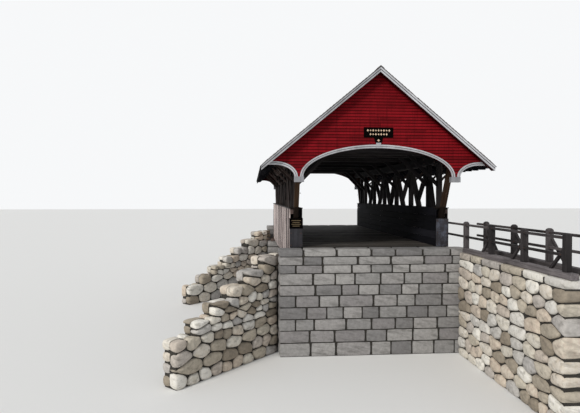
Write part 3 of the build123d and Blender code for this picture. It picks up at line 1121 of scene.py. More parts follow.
@dataclass
class Gable:
    """The lapped red boards of one portal, cut from the wall's own outline."""

    end: End
    exposure: float = COURSE
    butt: float = 0.020
    tip: float = 0.003
    thickness: float = 0.008
    joint_spacing: float = 3.2
    joint_spread: Span = (0.6, 1.2)
    seed: int = 40
    half_width: float = 4.0
    touch: float = 1e-5

    def outline(self) -> Mesh:
        """The outer face of the wall as one flat mesh.

        Returns:
            The mesh.
        """
        bm = node_mesh(f"{self.end.word}_gable_wall")
        bm.normal_update()
        inner = [face for face in bm.faces if face.normal.y * self.end.value < 0.9]
        bmesh.ops.delete(bm, geom=inner, context="FACES")
        bmesh.ops.dissolve_limit(bm, angle_limit=0.001, verts=bm.verts, edges=bm.edges)
        return bm

    def lap(self, bm: Mesh, low: float, face_y: float) -> None:
        """Cut the outline into courses and boards, and tilt each board over the one below.

        Args:
            bm: The flat outline.
            low: The height of the lowest board's lower edge.
            face_y: The wall's face.
        """
        rng = random.Random(self.seed + self.end.value)
        top = max(vert.co.z for vert in bm.verts)
        courses = math.ceil((top - low) / self.exposure)
        for i in range(1, courses):
            level = Vector((0.0, 0.0, low + i * self.exposure))
            geom = bm.verts[:] + bm.edges[:] + bm.faces[:]
            bmesh.ops.bisect_plane(bm, geom=geom, dist=self.touch, plane_co=level, plane_no=(0, 0, 1))
        cuts = [
            edge
            for edge in bm.edges
            if len(edge.link_faces) == 2 and abs(edge.verts[0].co.z - edge.verts[1].co.z) < self.touch
        ]
        bmesh.ops.split_edges(bm, edges=cuts)
        for i in range(courses):
            foot, head = low + i * self.exposure, low + (i + 1) * self.exposure
            joint = rng.uniform(-self.joint_spacing, 0.0) - self.half_width
            while joint < self.half_width:
                joint += rng.uniform(*self.joint_spread) * self.joint_spacing
                faces = [face for face in bm.faces if foot < face.calc_center_median().z < head]
                geom = list(dict.fromkeys(e for f in faces for e in (*f.verts, *f.edges))) + faces
                made = bmesh.ops.bisect_plane(
                    bm, geom=geom, dist=self.touch, plane_co=(joint, 0, 0), plane_no=ACROSS
                )
                ends = [e for e in made["geom_cut"] if isinstance(e, bmesh.types.BMEdge)]
                bmesh.ops.split_edges(bm, edges=ends)
        for group in islands(bm):
            tone(bm, group, rng.random())
            verts = list(dict.fromkeys(vert for face in group for vert in face.verts))
            course = int((sum(v.co.z for v in verts) / len(verts) - low) / self.exposure)
            foot = low + course * self.exposure
            for vert in verts:
                share = (vert.co.z - foot) / self.exposure
                proud = self.butt + (self.tip - self.butt) * min(1.0, max(0.0, share))
                vert.co.y = face_y + self.end.value * proud

    def build(self) -> None:
        """Make the boards of this portal and finish the wall behind them."""
        word = self.end.word
        node = f"{word}_gable_wall"
        bm = self.outline()
        self.lap(bm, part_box(node)[0].z, self.end.face(node))
        bm.normal_update()
        bmesh.ops.solidify(bm, geom=bm.faces[:], thickness=self.thickness)
        bmesh.ops.recalc_face_normals(bm, faces=bm.faces)
        make_piece(f"{word}_lapped_boards", bm, Finish.RED_PAINT)
        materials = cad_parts[node].data.materials
        materials.clear()
        materials.append(Finish.RED_SHADED.material())


@dataclass
class ArchTrim:
    """The white trim of one portal's arches and rakes, with a bead along each and a dark strip of painted
    shadow in its groove.
    """

    end: End
    width: float = 0.110
    thickness: float = 0.030
    key_height: float = 0.060
    pendant: float = 0.290
    side_run: float = 0.635
    side_rise: float = 0.375
    bead: float = 0.046
    bead_proud: float = 0.014
    groove: float = 0.013
    groove_proud: float = 0.0015
    let_in: float = 0.003
    ease: float = 0.004
    roof_step: float = 0.020
    rake_depth: float = 0.108
    rake_groove: Span = (0.048, 0.068)
    rake_reveal: float = 0.020
    rake_end: float = 0.004
    steps: int = 96
    side_steps: int = 28

    def below_ridge(self, drop: float) -> float:
        """The height over the road's middle of a line at a depth below the roof's top."""
        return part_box("left_roof_slope")[1].z - self.roof_step - drop / math.cos(ROOF_PITCH)

    def arch_lines(self, grow: float) -> list[Outline]:
        """The three arches at a distance from their openings.

        Args:
            grow: The distance.

        Returns:
            The points of the middle arch and of the two side arches.
        """
        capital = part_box("portal_capitals")[1]
        half = capital.x - self.pendant
        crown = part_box(f"{self.end.word}_arch_trim")[1].z - self.width - self.key_height
        tall = crown - capital.z + grow
        turns = [math.pi * i / self.steps for i in range(self.steps + 1)]
        middle = [((half + grow) * math.cos(t), capital.z + tall * math.sin(t)) for t in turns]
        centre = half + self.pendant + self.side_run
        run, rise = self.side_run + grow, self.side_rise + grow
        quarter = [math.pi / 2 * i / self.side_steps for i in range(self.side_steps + 1)]
        arc = [(centre - run * math.cos(t), capital.z + rise * math.sin(t)) for t in quarter]
        under = self.below_ridge(self.rake_depth)
        arc.append(((under - capital.z - rise) / math.tan(ROOF_PITCH), capital.z + rise))
        return [middle, arc, [(-x, z) for x, z in arc]]

    def rake_line(self, drop: float) -> Outline:
        """A line along the rake board, below the roof's top by a depth across the board.

        Args:
            drop: The depth.

        Returns:
            Its two ends on the right-hand side.
        """
        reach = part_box(f"{self.end.word}_rake_boards")[1].x
        top = self.below_ridge(drop)
        return [(x, top - x * math.tan(ROOF_PITCH)) for x in (self.rake_end, reach - self.rake_end)]

    def build(self) -> None:
        """Dress the trim and lay its beads, and the dark strips of painted shadow in its grooves."""
        word = self.end.word
        timbers = DressedTimbers()
        timbers.dress(f"{word}_arch_trim", Finish.WHITE_PAINT, self.ease)
        out = self.end.value
        face = self.end.face(f"{word}_gable_wall") + out * self.thickness
        inner = self.width - self.bead
        beads = new_mesh()
        dirt = new_mesh()
        bead_depth = (face - out * self.let_in, face + out * self.bead_proud)
        for lines in zip(self.arch_lines(inner), self.arch_lines(self.width)):
            ribbon(beads, *lines, bead_depth)
        # Dark strips in the grooves: painted shadow.
        groove_depth = (face - out * self.let_in, face + out * self.groove_proud)
        for lines in zip(self.arch_lines(inner - self.groove), self.arch_lines(inner)):
            ribbon(dirt, *lines, groove_depth)
        rake_face = self.end.face(f"{word}_rake_boards") - out * self.rake_reveal
        rake_depth = (rake_face - out * self.let_in, rake_face + out * self.groove_proud)
        for turn in (1, -1):
            lines = [[(turn * x, z) for x, z in self.rake_line(drop)] for drop in self.rake_groove]
            ribbon(dirt, *lines, rake_depth)
        make_piece(f"{word}_trim_beads", beads, Finish.WHITE_PAINT)
        make_piece(f"{word}_trim_grooves", dirt, Finish.GROOVE_DIRT)


@dataclass
class Roof:
    """One slope of the roof: boards below, and shingles in lapped courses above."""

    side: Side
    build_up: float = 0.060
    board_thickness: float = 0.025
    board_width: float = 0.21
    board_lengths: Span = (3.2, 5.2)
    board_least: float = 1.0
    shingle_thickness: float = 0.009
    shingle_length: float = 0.33
    shingle_rise: float = 0.020
    exposure: float = 0.135
    widths: Span = (0.085, 0.20)
    slips: Span = (-0.006, 0.004)
    lifts: Span = (-0.001, 0.002)
    twists: Span = (-0.006, 0.006)
    narrowest: float = 0.03
    shortest: float = 0.08
    lead: float = 0.045
    stagger: Span = (0.0, 0.1)
    ridge_gap: float = 0.01
    verge_least: float = 0.02
    board_seed: int = 70
    shingle_seed: int = 80
    gap: float = 0.004
    overhang: float = 0.020
    verge: float = 0.060

    def axes(self) -> tuple[Vector, Vector, Vector, float, BoxPair]:
        """The lines that the slope is laid along.

        Returns:
            The roof's ridge point, its way down, its outward normal, its slope length and its box.
        """
        low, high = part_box(f"{self.side.word}_roof_slope")
        down = Vector((self.side.value * math.cos(ROOF_PITCH), 0.0, -math.sin(ROOF_PITCH)))
        normal = Vector((self.side.value * math.sin(ROOF_PITCH), 0.0, math.cos(ROOF_PITCH)))
        reach = max(abs(low.x), abs(high.x))
        return Vector((0.0, 0.0, high.z)), down, normal, reach / math.cos(ROOF_PITCH), (low, high)

    def turn(self, down: Vector, normal: Vector) -> Matrix:
        """The turn of something whose own axes are down the slope, along the road and out of the roof."""
        along = normal.cross(down)
        return Matrix((down, along, normal)).transposed().to_4x4()

    def boards(self) -> None:
        """The boards under the shingles, which show from below."""
        ridge, down, normal, length, (low, high) = self.axes()
        rng = random.Random(self.board_seed + self.side.value)
        bm = new_mesh()
        turn = self.turn(down, normal)
        count = round(length / self.board_width)
        width = length / count
        depth = self.build_up - self.board_thickness / 2
        for i in range(count):
            middle = ridge + down * ((i + 0.5) * width) - normal * depth
            for y0, y1 in lengths(rng, low.y, high.y, self.board_lengths, self.board_least):
                middle.y = (y0 + y1) / 2
                size = (width - self.gap, y1 - y0 - self.gap, self.board_thickness)
                add_block(bm, size, Matrix.Translation(middle) @ turn, rng.random(), FINE_EDGE)
        word = self.side.word
        make_piece(
            f"{word}_roof_boards", bm, Finish.SHADED_TIMBER, [f"{word}_roof_slope"]
        )

    def shingles(self) -> None:
        """The shingles, course by course from the eave up."""
        ridge, down, normal, length, (low, high) = self.axes()
        rng = random.Random(self.shingle_seed + self.side.value)
        bm = new_mesh()
        tilt = Matrix.Rotation(math.asin(self.shingle_rise / self.shingle_length), 4, "Y")
        turn = self.turn(down, normal)
        lift = (self.shingle_thickness - self.shingle_rise) / 2
        end = high.y + self.verge
        for course in range(int(length / self.exposure) + 1):
            foot = length + self.overhang - course * self.exposure
            y = low.y - self.lead - rng.uniform(*self.stagger)
            span = min(self.shingle_length, foot - self.ridge_gap)
            if span < self.shortest:
                continue
            while y < end - self.verge_least:
                width = rng.uniform(*self.widths)
                start = max(y, low.y - self.verge)
                stop = min(y + width, end)
                y += width
                if stop - start < self.narrowest:
                    continue
                slip = rng.uniform(*self.slips)
                out = lift + rng.uniform(*self.lifts)
                middle = ridge + down * (foot + slip - span / 2) + normal * out
                middle.y = (start + stop) / 2
                lean = tilt @ Matrix.Rotation(rng.uniform(*self.twists), 4, "Z")
                size = (span, stop - start - self.gap, self.shingle_thickness)
                add_block(bm, size, Matrix.Translation(middle) @ turn @ lean, rng.random())
        make_piece(f"{self.side.word}_shingles", bm, Finish.SHINGLES)

    def build(self) -> None:
        """Make this slope."""
        self.boards()
        self.shingles()


@dataclass
class RidgeCap:
    """Two boards lapped over the ridge."""

    width: float = 0.15
    thickness: float = 0.020
    lift: float = 0.014
    lap: float = 0.008
    verge: float = 0.05
    board_lengths: Span = (2.4, 3.4)
    board_least: float = 0.8
    gap: float = 0.004
    seed: int = 5

    def build(self) -> None:
        """Make the cap in lengths."""
        rng = random.Random(self.seed)
        low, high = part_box("left_roof_slope")
        start, stop = low.y - self.verge, high.y + self.verge
        bm = new_mesh()
        for side in Side:
            roof = Roof(side)
            ridge, down, normal, _, _ = roof.axes()
            middle = ridge + down * (self.width / 2 - self.lap) + normal * self.lift
            for y0, y1 in lengths(rng, start, stop, self.board_lengths, self.board_least):
                middle.y = (y0 + y1) / 2
                size = (self.width, y1 - y0 - self.gap, self.thickness)
                matrix = Matrix.Translation(middle) @ roof.turn(down, normal)
                add_block(bm, size, matrix, rng.random(), EDGE)
        make_piece("ridge_cap", bm, Finish.SHINGLES)


@dataclass
class SideBoards:
    """The boards of one side: upright weather boards outside and level boards along the road."""

    side: Side
    widths: Span = (0.17, 0.27)
    narrowest: float = 0.08
    thicknesses: Span = (0.019, 0.025)
    feet: Span = (-0.012, 0.018)
    leans: Span = (-0.004, 0.004)
    gap: float = 0.011
    cap_height: float = 0.025
    cap_width: float = 0.075
    cap_back: float = 0.02
    cap_lean: float = 0.08
    cap_end: float = 0.221
    cap_pieces: int = 3
    nails_down: Span = (0.105, 0.165)
    nails_up: Span = (0.10, 0.20)
    level_width: float = 0.245
    level_lengths: Span = (2.6, 4.8)
    level_least: float = 1.0
    level_thicknesses: Span = (0.021, 0.025)
    joint: float = 0.003
    lip: float = 0.015
    lip_width: float = 0.04
    lip_end: float = 0.176
    seed: int = 93
    level_seed: int = 120

    def outer(self) -> None:
        """The upright boards outside, with a cap along their tops."""
        node = f"{self.side.word}_outer_boarding"
        low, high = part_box(node)
        rng = random.Random(self.seed + self.side.value)
        out = self.side.value
        inner_x = self.side.inner((low, high))
        top = high.z - self.cap_height - 0.001
        bm = new_mesh()
        laid: list[tuple[float, float, float]] = []
        for y0, y1 in lengths(rng, low.y, high.y, self.widths, self.narrowest):
            thick = rng.uniform(*self.thicknesses)
            foot = low.z + rng.uniform(*self.feet)
            middle = Vector((inner_x + out * thick / 2, (y0 + y1) / 2, (foot + top) / 2))
            turn = Matrix.Rotation(rng.uniform(*self.leans), 4, "X")
            size = (thick, y1 - y0 - self.gap, top - foot)
            add_block(bm, size, Matrix.Translation(middle) @ turn, rng.random(), EDGE)
            laid.append((y0, y1, inner_x + out * thick))
        name = node.replace("boarding", "boards")
        make_piece(name, bm, Finish.SIDE_BOARDS, [node])
        levels = [high.z - down for down in self.nails_down] + [low.z + up for up in self.nails_up]
        Ironwork().nails(self.side, laid, levels)
        cap = new_mesh()
        box_low, box_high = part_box(f"{self.side.word}_end_boxes")
        start = box_low.y + self.cap_end
        run = (box_high.y - self.cap_end - start) / self.cap_pieces
        lean = Matrix.Rotation(out * self.cap_lean, 4, "Y")
        x = inner_x + out * (self.cap_width / 2 - self.cap_back)
        for i in range(self.cap_pieces):
            middle = Vector((x, start + run * (i + 0.5), high.z - self.cap_height / 2))
            size = (self.cap_width, run - self.joint, self.cap_height)
            add_block(cap, size, Matrix.Translation(middle) @ lean, rng.random(), EDGE)
        make_piece(f"{self.side.word}_outer_cap", cap, Finish.RAIL_TIMBER)

    def inner(self) -> None:
        """The level boards along the road, with their cap."""
        node = f"{self.side.word}_inner_boarding"
        low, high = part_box(node)
        rng = random.Random(self.level_seed + self.side.value)
        out = self.side.value
        back_x = self.side.inner((low, high)) + out * (self.lip + self.level_thicknesses[1])
        rows = round((high.z - self.cap_height - low.z) / self.level_width)
        height = (high.z - self.cap_height - low.z) / rows
        bm = new_mesh()
        for row in range(rows):
            z = low.z + (row + 0.5) * height
            for y0, y1 in lengths(rng, low.y, high.y, self.level_lengths, self.level_least):
                depth = rng.uniform(*self.level_thicknesses)
                middle = Vector((back_x - out * depth / 2, (y0 + y1) / 2, z))
                size = (depth, y1 - y0 - self.joint, height - 2 * self.joint)
                add_block(bm, size, Matrix.Translation(middle), rng.random(), EDGE)
        x = back_x - out * self.lip_width / 2
        middle = Vector((x, (low.y + high.y) / 2, high.z - self.cap_height / 2))
        size = (self.lip_width, high.y - low.y - 2 * self.lip_end, self.cap_height)
        add_block(bm, size, Matrix.Translation(middle), 0.5, EDGE)
        name = node.replace("boarding", "boards")
        make_piece(name, bm, Finish.SHADED_TIMBER, [node])

    def build(self) -> None:
        """Make both skins of this side."""
        self.outer()
        self.inner()


@dataclass
class Deck:
    """The planks of the floor, laid across the road in two layers."""

    plank: float = 0.24
    top_layer: float = 0.060
    gap: float = 0.006
    strips: int = 18
    strip_gap: float = 0.004
    layer_gap: float = 0.001
    wear: float = 0.004
    seed: int = 31

    def build(self) -> None:
        """Make the planks."""
        rng = random.Random(self.seed)
        low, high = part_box("floor_deck")
        bm = new_mesh()
        count = round((high.y - low.y) / self.plank)
        width = (high.y - low.y) / count
        for i in range(count):
            y0 = low.y + i * width
            top = high.z - rng.uniform(0.0, self.wear)
            corner = Vector((low.x, y0 + self.gap / 2, high.z - self.top_layer))
            other = Vector((high.x, y0 + width - self.gap / 2, top))
            size, place = between(corner, other)
            add_block(bm, size, place, rng.random(), WORN_EDGE)
        wide = (high.x - low.x) / self.strips
        for i in range(self.strips):
            x = low.x + i * wide + self.strip_gap / 2
            corner = Vector((x, low.y, low.z))
            top = high.z - self.top_layer - self.layer_gap
            other = Vector((x + wide - self.strip_gap, high.y, top))
            size, place = between(corner, other)
            add_block(bm, size, place, rng.random(), EDGE)
        make_piece("floor_planking", bm, Finish.FLOOR_PLANKS, ["floor_deck"])


# Masonry


class StoneCutter:
    """Shapes one stone after another from a rounded template."""

    def __init__(self, cuts: int, rounding: float, rough: float, seed: int) -> None:
        """Cut the template.

        Args:
            cuts: How often each edge of the template is divided.
            rounding: How much its corners are worn down, from 0 to 1.
            rough: How far its faces wander, in metres.
            seed: The seed of the wandering.
        """
        template = new_mesh()
        bmesh.ops.create_cube(template, size=1.0)
        bmesh.ops.subdivide_edges(template, edges=template.edges[:], cuts=cuts, use_grid_fill=True)
        for _ in range(2):
            bmesh.ops.smooth_vert(
                template,
                verts=template.verts,
                factor=rounding,
                use_axis_x=True,
                use_axis_y=True,
                use_axis_z=True,
            )
        reach = max(max(abs(c) for c in vert.co) for vert in template.verts)
        bmesh.ops.scale(template, vec=(0.5 / reach,) * 3, verts=template.verts)
        self.mesh = bpy.data.meshes.new("stone_template")
        template.to_mesh(self.mesh)
        template.free()
        self.rough = rough
        self.seed = seed

    def lay(self, bm: Mesh, corners: Sequence[Vector], value: float) -> None:
        """Lay one stone.

        Args:
            bm: The wall's mesh.
            corners: Its eight corners: those at the start of each axis before those at its end, the
                first axis changing fastest.
            value: Its tone.
        """
        before = len(bm.verts)
        faces_before = len(bm.faces)
        bm.from_mesh(self.mesh)
        bm.verts.ensure_lookup_table()
        bm.faces.ensure_lookup_table()
        drift = Vector((self.seed * 3.1, value * 17.0, before * 0.013))
        for vert in bm.verts[before:]:
            a, b, c = (co + 0.5 for co in vert.co)
            point = Vector((0.0, 0.0, 0.0))
            for i, corner in enumerate(corners):
                share = (a if i & 1 else 1 - a) * (b if i & 2 else 1 - b) * (c if i & 4 else 1 - c)
                point += corner * share
            vert.co = point + noise.noise_vector(point * 6.0 + drift) * self.rough
        tone(bm, bm.faces[faces_before:], value)


@dataclass
class Rubble:
    """Irregular stones fitted to one another over a flat face, each rounded and a little proud."""

    rng: random.Random
    length: float = 0.56
    stretch: float = 1.6
    gap: float = 0.026
    rough: float = 0.022
    near: float = 1.4
    least_area: float = 0.012
    course: float = 0.3
    spread: Span = (0.5, 1.5)
    lead: Span = (0.0, 0.2)
    scatter: Span = (-0.2, 0.2)
    margin: float = 0.04
    roundings: Span = (0.20, 0.25)
    prouds: Span = (-0.008, 0.014)
    # The rings over a stone's face: each one's size against the outline, and its depth behind the face.
    shells: tuple[tuple[float, float], ...] = (
        (1.0, 0.085),
        (0.975, 0.040),
        (0.90, 0.010),
        (0.68, -0.012),
        (0.34, -0.020),
    )

    def seeds(
        self, start: float, reach: Callable[[float], float], levels: Sequence[float]
    ) -> Outline:
        """The middles of the stones, row by row.

        Args:
            start: Where the face starts.
            reach: How far it goes at a height.
            levels: The heights of the bed joints.

        Returns:
            Each stone's place along the face and in height.
        """
        found = []
        for low, high in zip(levels, levels[1:]):
            tall = high - low
            middle = (low + high) / 2
            stop = reach(middle)
            s = start - self.rng.uniform(*self.lead)
            while s < stop:
                wide = self.length * self.rng.uniform(*self.spread) * math.sqrt(tall / self.course)
                place = s + wide / 2
                if start + self.margin < place < stop - self.margin:
                    found.append((place, middle + self.rng.uniform(*self.scatter) * tall))
                s += wide
        return found

    def clip(self, polygon: Outline, point: Point, normal: Point) -> Outline:
        """Cut a polygon along a line.

        Args:
            polygon: Its corners.
            point: A point on the line.
            normal: The way to the side that is cut off.

        Returns:
            What is left.
        """
        kept = []
        away = [(a - point[0]) * normal[0] + (b - point[1]) * normal[1] for a, b in polygon]
        for i, (a, b) in enumerate(polygon):
            j = (i + 1) % len(polygon)
            if away[i] <= 0:
                kept.append((a, b))
            if (away[i] < 0 < away[j]) or (away[j] < 0 < away[i]):
                t = away[i] / (away[i] - away[j])
                kept.append((a + (polygon[j][0] - a) * t, b + (polygon[j][1] - b) * t))
        return kept

    def cells(
        self,
        start: float,
        reach: Callable[[float], float],
        top: Callable[[float], float],
        levels: Sequence[float],
    ) -> list[Outline]:
        """The outlines of the stones on one face.

        Args:
            start: Where the face starts.
            reach: How far it goes at a height.
            top: How high it goes at a place.
            levels: The heights of the bed joints.

        Returns:
            Each stone's outline, rounded.
        """
        seeds = self.seeds(start, reach, levels)
        outlines = []
        for s, z in seeds:
            stop, height = reach(z), top(s)
            cell = [(start, 0.0), (stop, 0.0), (stop, height), (start, height)]
            for other_s, other_z in seeds:
                if (other_s, other_z) == (s, z) or math.hypot(other_s - s, other_z - z) > self.near:
                    continue
                normal = ((other_s - s) / self.stretch**2, other_z - z)
                size = math.hypot(*normal)
                unit = (normal[0] / size, normal[1] / size)
                across = (s + other_s) / 2 - unit[0] * self.gap / 2
                up = (z + other_z) / 2 - unit[1] * self.gap / 2
                cell = self.clip(cell, (across, up), unit)
            if len(cell) > 2 and self.area(cell) > self.least_area:
                for rounding in self.roundings:
                    cell = self.rounded(cell, rounding)
                outlines.append(cell)
        return outlines

    def area(self, polygon: Outline) -> float:
        """The area of a polygon."""
        pairs = zip(polygon, polygon[1:] + polygon[:1])
        return abs(sum(a[0] * b[1] - b[0] * a[1] for a, b in pairs)) / 2

    def rounded(self, polygon: Outline, share: float) -> Outline:
        """Cut each corner off a polygon.

        Args:
            polygon: Its corners.
            share: How far along each edge the cut starts.

        Returns:
            Twice as many corners.
        """
        return [
            (a[0] + (b[0] - a[0]) * t, a[1] + (b[1] - a[1]) * t)
            for a, b in zip(polygon, polygon[1:] + polygon[:1])
            for t in (share, 1 - share)
        ]

    def lay(
        self,
        bm: Mesh,
        outlines: Iterable[Outline],
        depth: float,
        place: Callable[[float, float, float], Vector],
    ) -> None:
        """Build the stones of one face.

        Args:
            bm: The wall's mesh.
            outlines: Their outlines.
            depth: How far they go into the wall.
            place: The point for a place along the face, a height and a depth.
        """
        for outline in outlines:
            value = self.rng.random()
            drift = Vector((value * 31.0, value * 17.0, 5.0))
            s = sum(a for a, _ in outline) / len(outline)
            z = sum(b for _, b in outline) / len(outline)
            proud = self.rng.uniform(*self.prouds)
            sunk = [(0.90, depth), (1.0, depth * 0.6), *self.shells[:2]]
            raised = [(scale, deep - proud) for scale, deep in self.shells[2:]]
            rings = []
            for scale, deep in sunk + raised:
                ring = []
                for a, b in outline:
                    point = place(s + (a - s) * scale, z + (b - z) * scale, deep)
                    wander = noise.noise_vector(point * 4.0 + drift) * self.rough
                    wander += noise.noise_vector(point * 13.0 + drift) * self.rough * 0.3
                    ring.append(point + wander * (1.0 if b > 0.03 else 0.2))
                rings.append(ring)
            skin(bm, rings, value, ACROSS)


def box_corners(low: Vector, high: Vector) -> list[Vector]:
    """The eight corners of an upright box, in a stone's order.

    Args:
        low: The low corner.
        high: The high corner.

    Returns:
        The corners.
    """
    return [
        Vector(((high if i & 1 else low).x, (high if i & 2 else low).y, (high if i & 4 else low).z))
        for i in range(8)
    ]


@dataclass
class Masonry:
    """Laid stone around a dark core, for the walls and abutments."""

    joint: float = 0.012
    inset: float = 0.055
    flare: float = math.radians(47.7)
    thickness: float = 0.6
    step: float = 0.4
    courses: Span = (0.24, 0.44)
    back_wall: float = 0.63
    coping: float = 0.26
    flat_course: float = 0.22
    flat_lengths: Span = (0.6, 1.2)
    flat_least: float = 0.4
    flat_gap: float = 0.008
    split_chance: float = 0.55
    split_at: Span = (0.42, 0.6)
    course_spread: Span = (0.8, 1.2)
    core_gap: float = 0.01
    rubble_course: float = 0.33
    stem_course: float = 0.42
    top_course: float = 0.30
    block_lengths: Span = (0.55, 1.25)
    wander: float = 0.004

    def core(self, node: str) -> None:
        """The hearting inside a wall, a little inside its faces.

        Args:
            node: The wall's node, which the core stands for.
        """
        bm = node_mesh(node, FLAT)
        bm.normal_update()
        moves = [(v, v.normal * v.calc_shell_factor() * self.inset) for v in bm.verts]
        floor = min(v.co.z for v in bm.verts)
        for vert, move in moves:
            vert.co -= move
            if vert.co.z < floor + 2 * self.inset:
                vert.co.z = floor
        bmesh.ops.triangulate(bm, faces=bm.faces[:])
        make_piece(f"{node}_hearting", bm, Finish.HEARTING, [node])

    def wing(self, node: str, mirrored: bool) -> None:
        """A flared wing wall that steps down in courses.

        Args:
            node: The wall's node.
            mirrored: Whether it is on the right-hand side.
        """
        low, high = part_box(node)
        if mirrored:
            low, high = Vector((-high.x, low.y, low.z)), Vector((-low.x, high.y, high.z))
        sine, cosine = math.sin(self.flare), math.cos(self.flare)
        run = Vector((-cosine, -sine, 0.0))
        back = Vector((-sine, cosine, 0.0))
        length = (high.x - low.x - self.thickness * sine) / cosine
        start = Vector((high.x, high.y - self.thickness / cosine, low.z))
        height = high.z - low.z
        steps = 6 if length > 5.0 else 5
        tread = length / (steps + 1)
        base = height - steps * self.step

        def reach(z: float) -> float:
            """How far the wall goes at a height."""
            level = max(0, math.ceil((z - base - 0.001) / self.step))
            return length if level == 0 else tread * (steps + 1 - level)

        def top(s: float) -> float:
            """How high the wall goes at a place along it."""
            return height - self.step * min(steps, max(0, int(s / tread)))

        def place(s: float, z: float, deep: float, rear: bool) -> Vector:
            """The point for a stone's corner.

            Args:
                s: The place along the face.
                z: The height.
                deep: How far behind the face it is.
                rear: Whether the face is the rear one.

            Returns:
                The point.
            """
            across = self.thickness - deep if rear else deep
            point = start + run * s + back * across + Vector((0.0, 0.0, z))
            return Vector((-point.x, point.y, point.z)) if mirrored else point

        rng = random.Random(f"wing {node}")
        bm = new_mesh()
        for rear in (False, True):
            rubble = Rubble(rng)
            levels = self.wing_levels(rng, base, steps)
            first = -self.thickness * math.tan(self.flare) if rear else 0.0
            outlines = rubble.cells(first, reach, top, levels)
            rubble.lay(bm, outlines, self.thickness / 2 - self.core_gap, partial(place, rear=rear))
        self.finish_rubble(node, bm)

    def wing_levels(self, rng: random.Random, base: float, steps: int) -> list[float]:
        """The bed joints of a wing wall, which meet the top of each of its steps.

        Args:
            rng: The wall's random numbers.
            base: The height of the lowest step.
            steps: How many steps there are.

        Returns:
            The levels from the foot up.
        """
        levels = [0.0]
        while levels[-1] < base - 0.25:
            levels.append(levels[-1] + rng.uniform(*self.courses))
        levels[-1] = base
        for i in range(steps):
            if rng.random() < self.split_chance:
                levels.append(base + (i + rng.uniform(*self.split_at)) * self.step)
            levels.append(base + (i + 1) * self.step)
        return levels

    def finish_rubble(self, node: str, bm: Mesh) -> None:
        """Make the piece of a rubble wall, and the core behind it.

        Args:
            node: The wall's node.
            bm: Its stones.
        """
        bmesh.ops.recalc_face_normals(bm, faces=bm.faces[:])
        make_piece(f"{node}_stones", bm, Finish.FIELDSTONE, smooth=42.0)
        self.core(node)

    def abutment(self, end: End) -> None:
        """A block of squared stones with the bridge's seat and the wall behind it.

        Args:
            end: Which abutment.
        """
        node = f"{end.word}_abutment"
        low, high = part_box(node)
        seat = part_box("bed_timbers")[0].z
        rng = random.Random(f"abutment {node}")
        cutter = StoneCutter(cuts=2, rounding=0.22, rough=0.007, seed=3)
        bm = new_mesh()
        if end is End.FAR:
            front = (low.y, high.y - self.back_wall)
            rear = (high.y - self.back_wall, high.y)
        else:
            front = (low.y + self.back_wall, high.y)
            rear = (low.y, low.y + self.back_wall)
        stem = self.levels(rng, low.z, seat, self.stem_course)
        top = [*self.levels(rng, seat, high.z - self.coping, self.top_course), high.z]
        for depth, levels in ((front, stem), (rear, stem), (rear, top)):
            self.lay_rows(bm, cutter, rng, (low.x, high.x), depth, levels)
        make_piece(f"{node}_blocks", bm, Finish.CUT_STONE, smooth=38.0)
        self.core(node)

    def levels(self, rng: random.Random, low: float, high: float, height: float) -> list[float]:
        """Course heights between two levels.

        Args:
            rng: The wall's random numbers.
            low: The lower level.
            high: The upper level.
            height: About how high a course is.

        Returns:
            The levels of the bed joints, from the lower to the upper.
        """
        count = max(1, round((high - low) / height))
        shares = [rng.uniform(*self.course_spread) for _ in range(count)]
        total = sum(shares)
        found = [low]
        for share in shares:
            found.append(found[-1] + share / total * (high - low))
        return found

    def lay_rows(
        self,
        bm: Mesh,
        cutter: StoneCutter,
        rng: random.Random,
        x: Span,
        y: Span,
        levels: Sequence[float],
    ) -> None:
        """Lay courses of stones side by side between two faces.

        Args:
            bm: The wall's mesh.
            cutter: What shapes the stones.
            rng: The wall's random numbers.
            x: The span that the stones share out.
            y: The span that each stone fills.
            levels: The bed joints.
        """
        gap = self.joint / 2
        least = self.block_lengths[0] * 0.6
        for z0, z1 in zip(levels, levels[1:]):
            for x0, x1 in lengths(rng, *x, self.block_lengths, least):
                low = Vector((x0 if x0 == x[0] else x0 + gap, y[0], z0 + gap))
                high = Vector((x1 if x1 == x[1] else x1 - gap, y[1], z1 - gap))
                corners = [
                    corner + Vector([rng.uniform(-1, 1) for _ in range(3)]) * self.wander
                    for corner in box_corners(low, high)
                ]
                cutter.lay(bm, corners, rng.random())

    def approach(self) -> None:
        """The wall along the approach, laid in rough stones under a course of flat ones."""
        node = "approach_wall"
        low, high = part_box(node)
        rng = random.Random("approach")
        bm = new_mesh()
        bed = high.z - self.flat_course
        height = bed - low.z

        def place(s: float, z: float, deep: float, side: Side) -> Vector:
            """The point for a place along a face, a height and a depth behind the face."""
            return Vector((side.outer((low, high)) - side.value * deep, low.y + s, low.z + z))

        for side in Side:
            rubble = Rubble(rng)
            levels = self.levels(rng, 0.0, height, self.rubble_course)
            outlines = rubble.cells(0.0, lambda z: high.y - low.y, lambda s: height, levels)
            rubble.lay(bm, outlines, (high.x - low.x) / 2 - self.core_gap, partial(place, side=side))
        flat = StoneCutter(cuts=2, rounding=0.25, rough=0.008, seed=4)
        for y0, y1 in lengths(rng, low.y, high.y, self.flat_lengths, self.flat_least):
            foot = Vector((low.x, y0 + self.flat_gap, bed + self.joint))
            head = Vector((high.x, y1 - self.flat_gap, high.z))
            flat.lay(bm, box_corners(foot, head), rng.random())
        self.finish_rubble(node, bm)

    def build(self) -> None:
        """Make every wall."""
        for end in End:
            self.abutment(end)
        self.wing("far_left_wing_wall", False)
        self.wing("near_left_wing_wall", False)
        self.wing("far_right_wing_wall", True)
        self.approach()


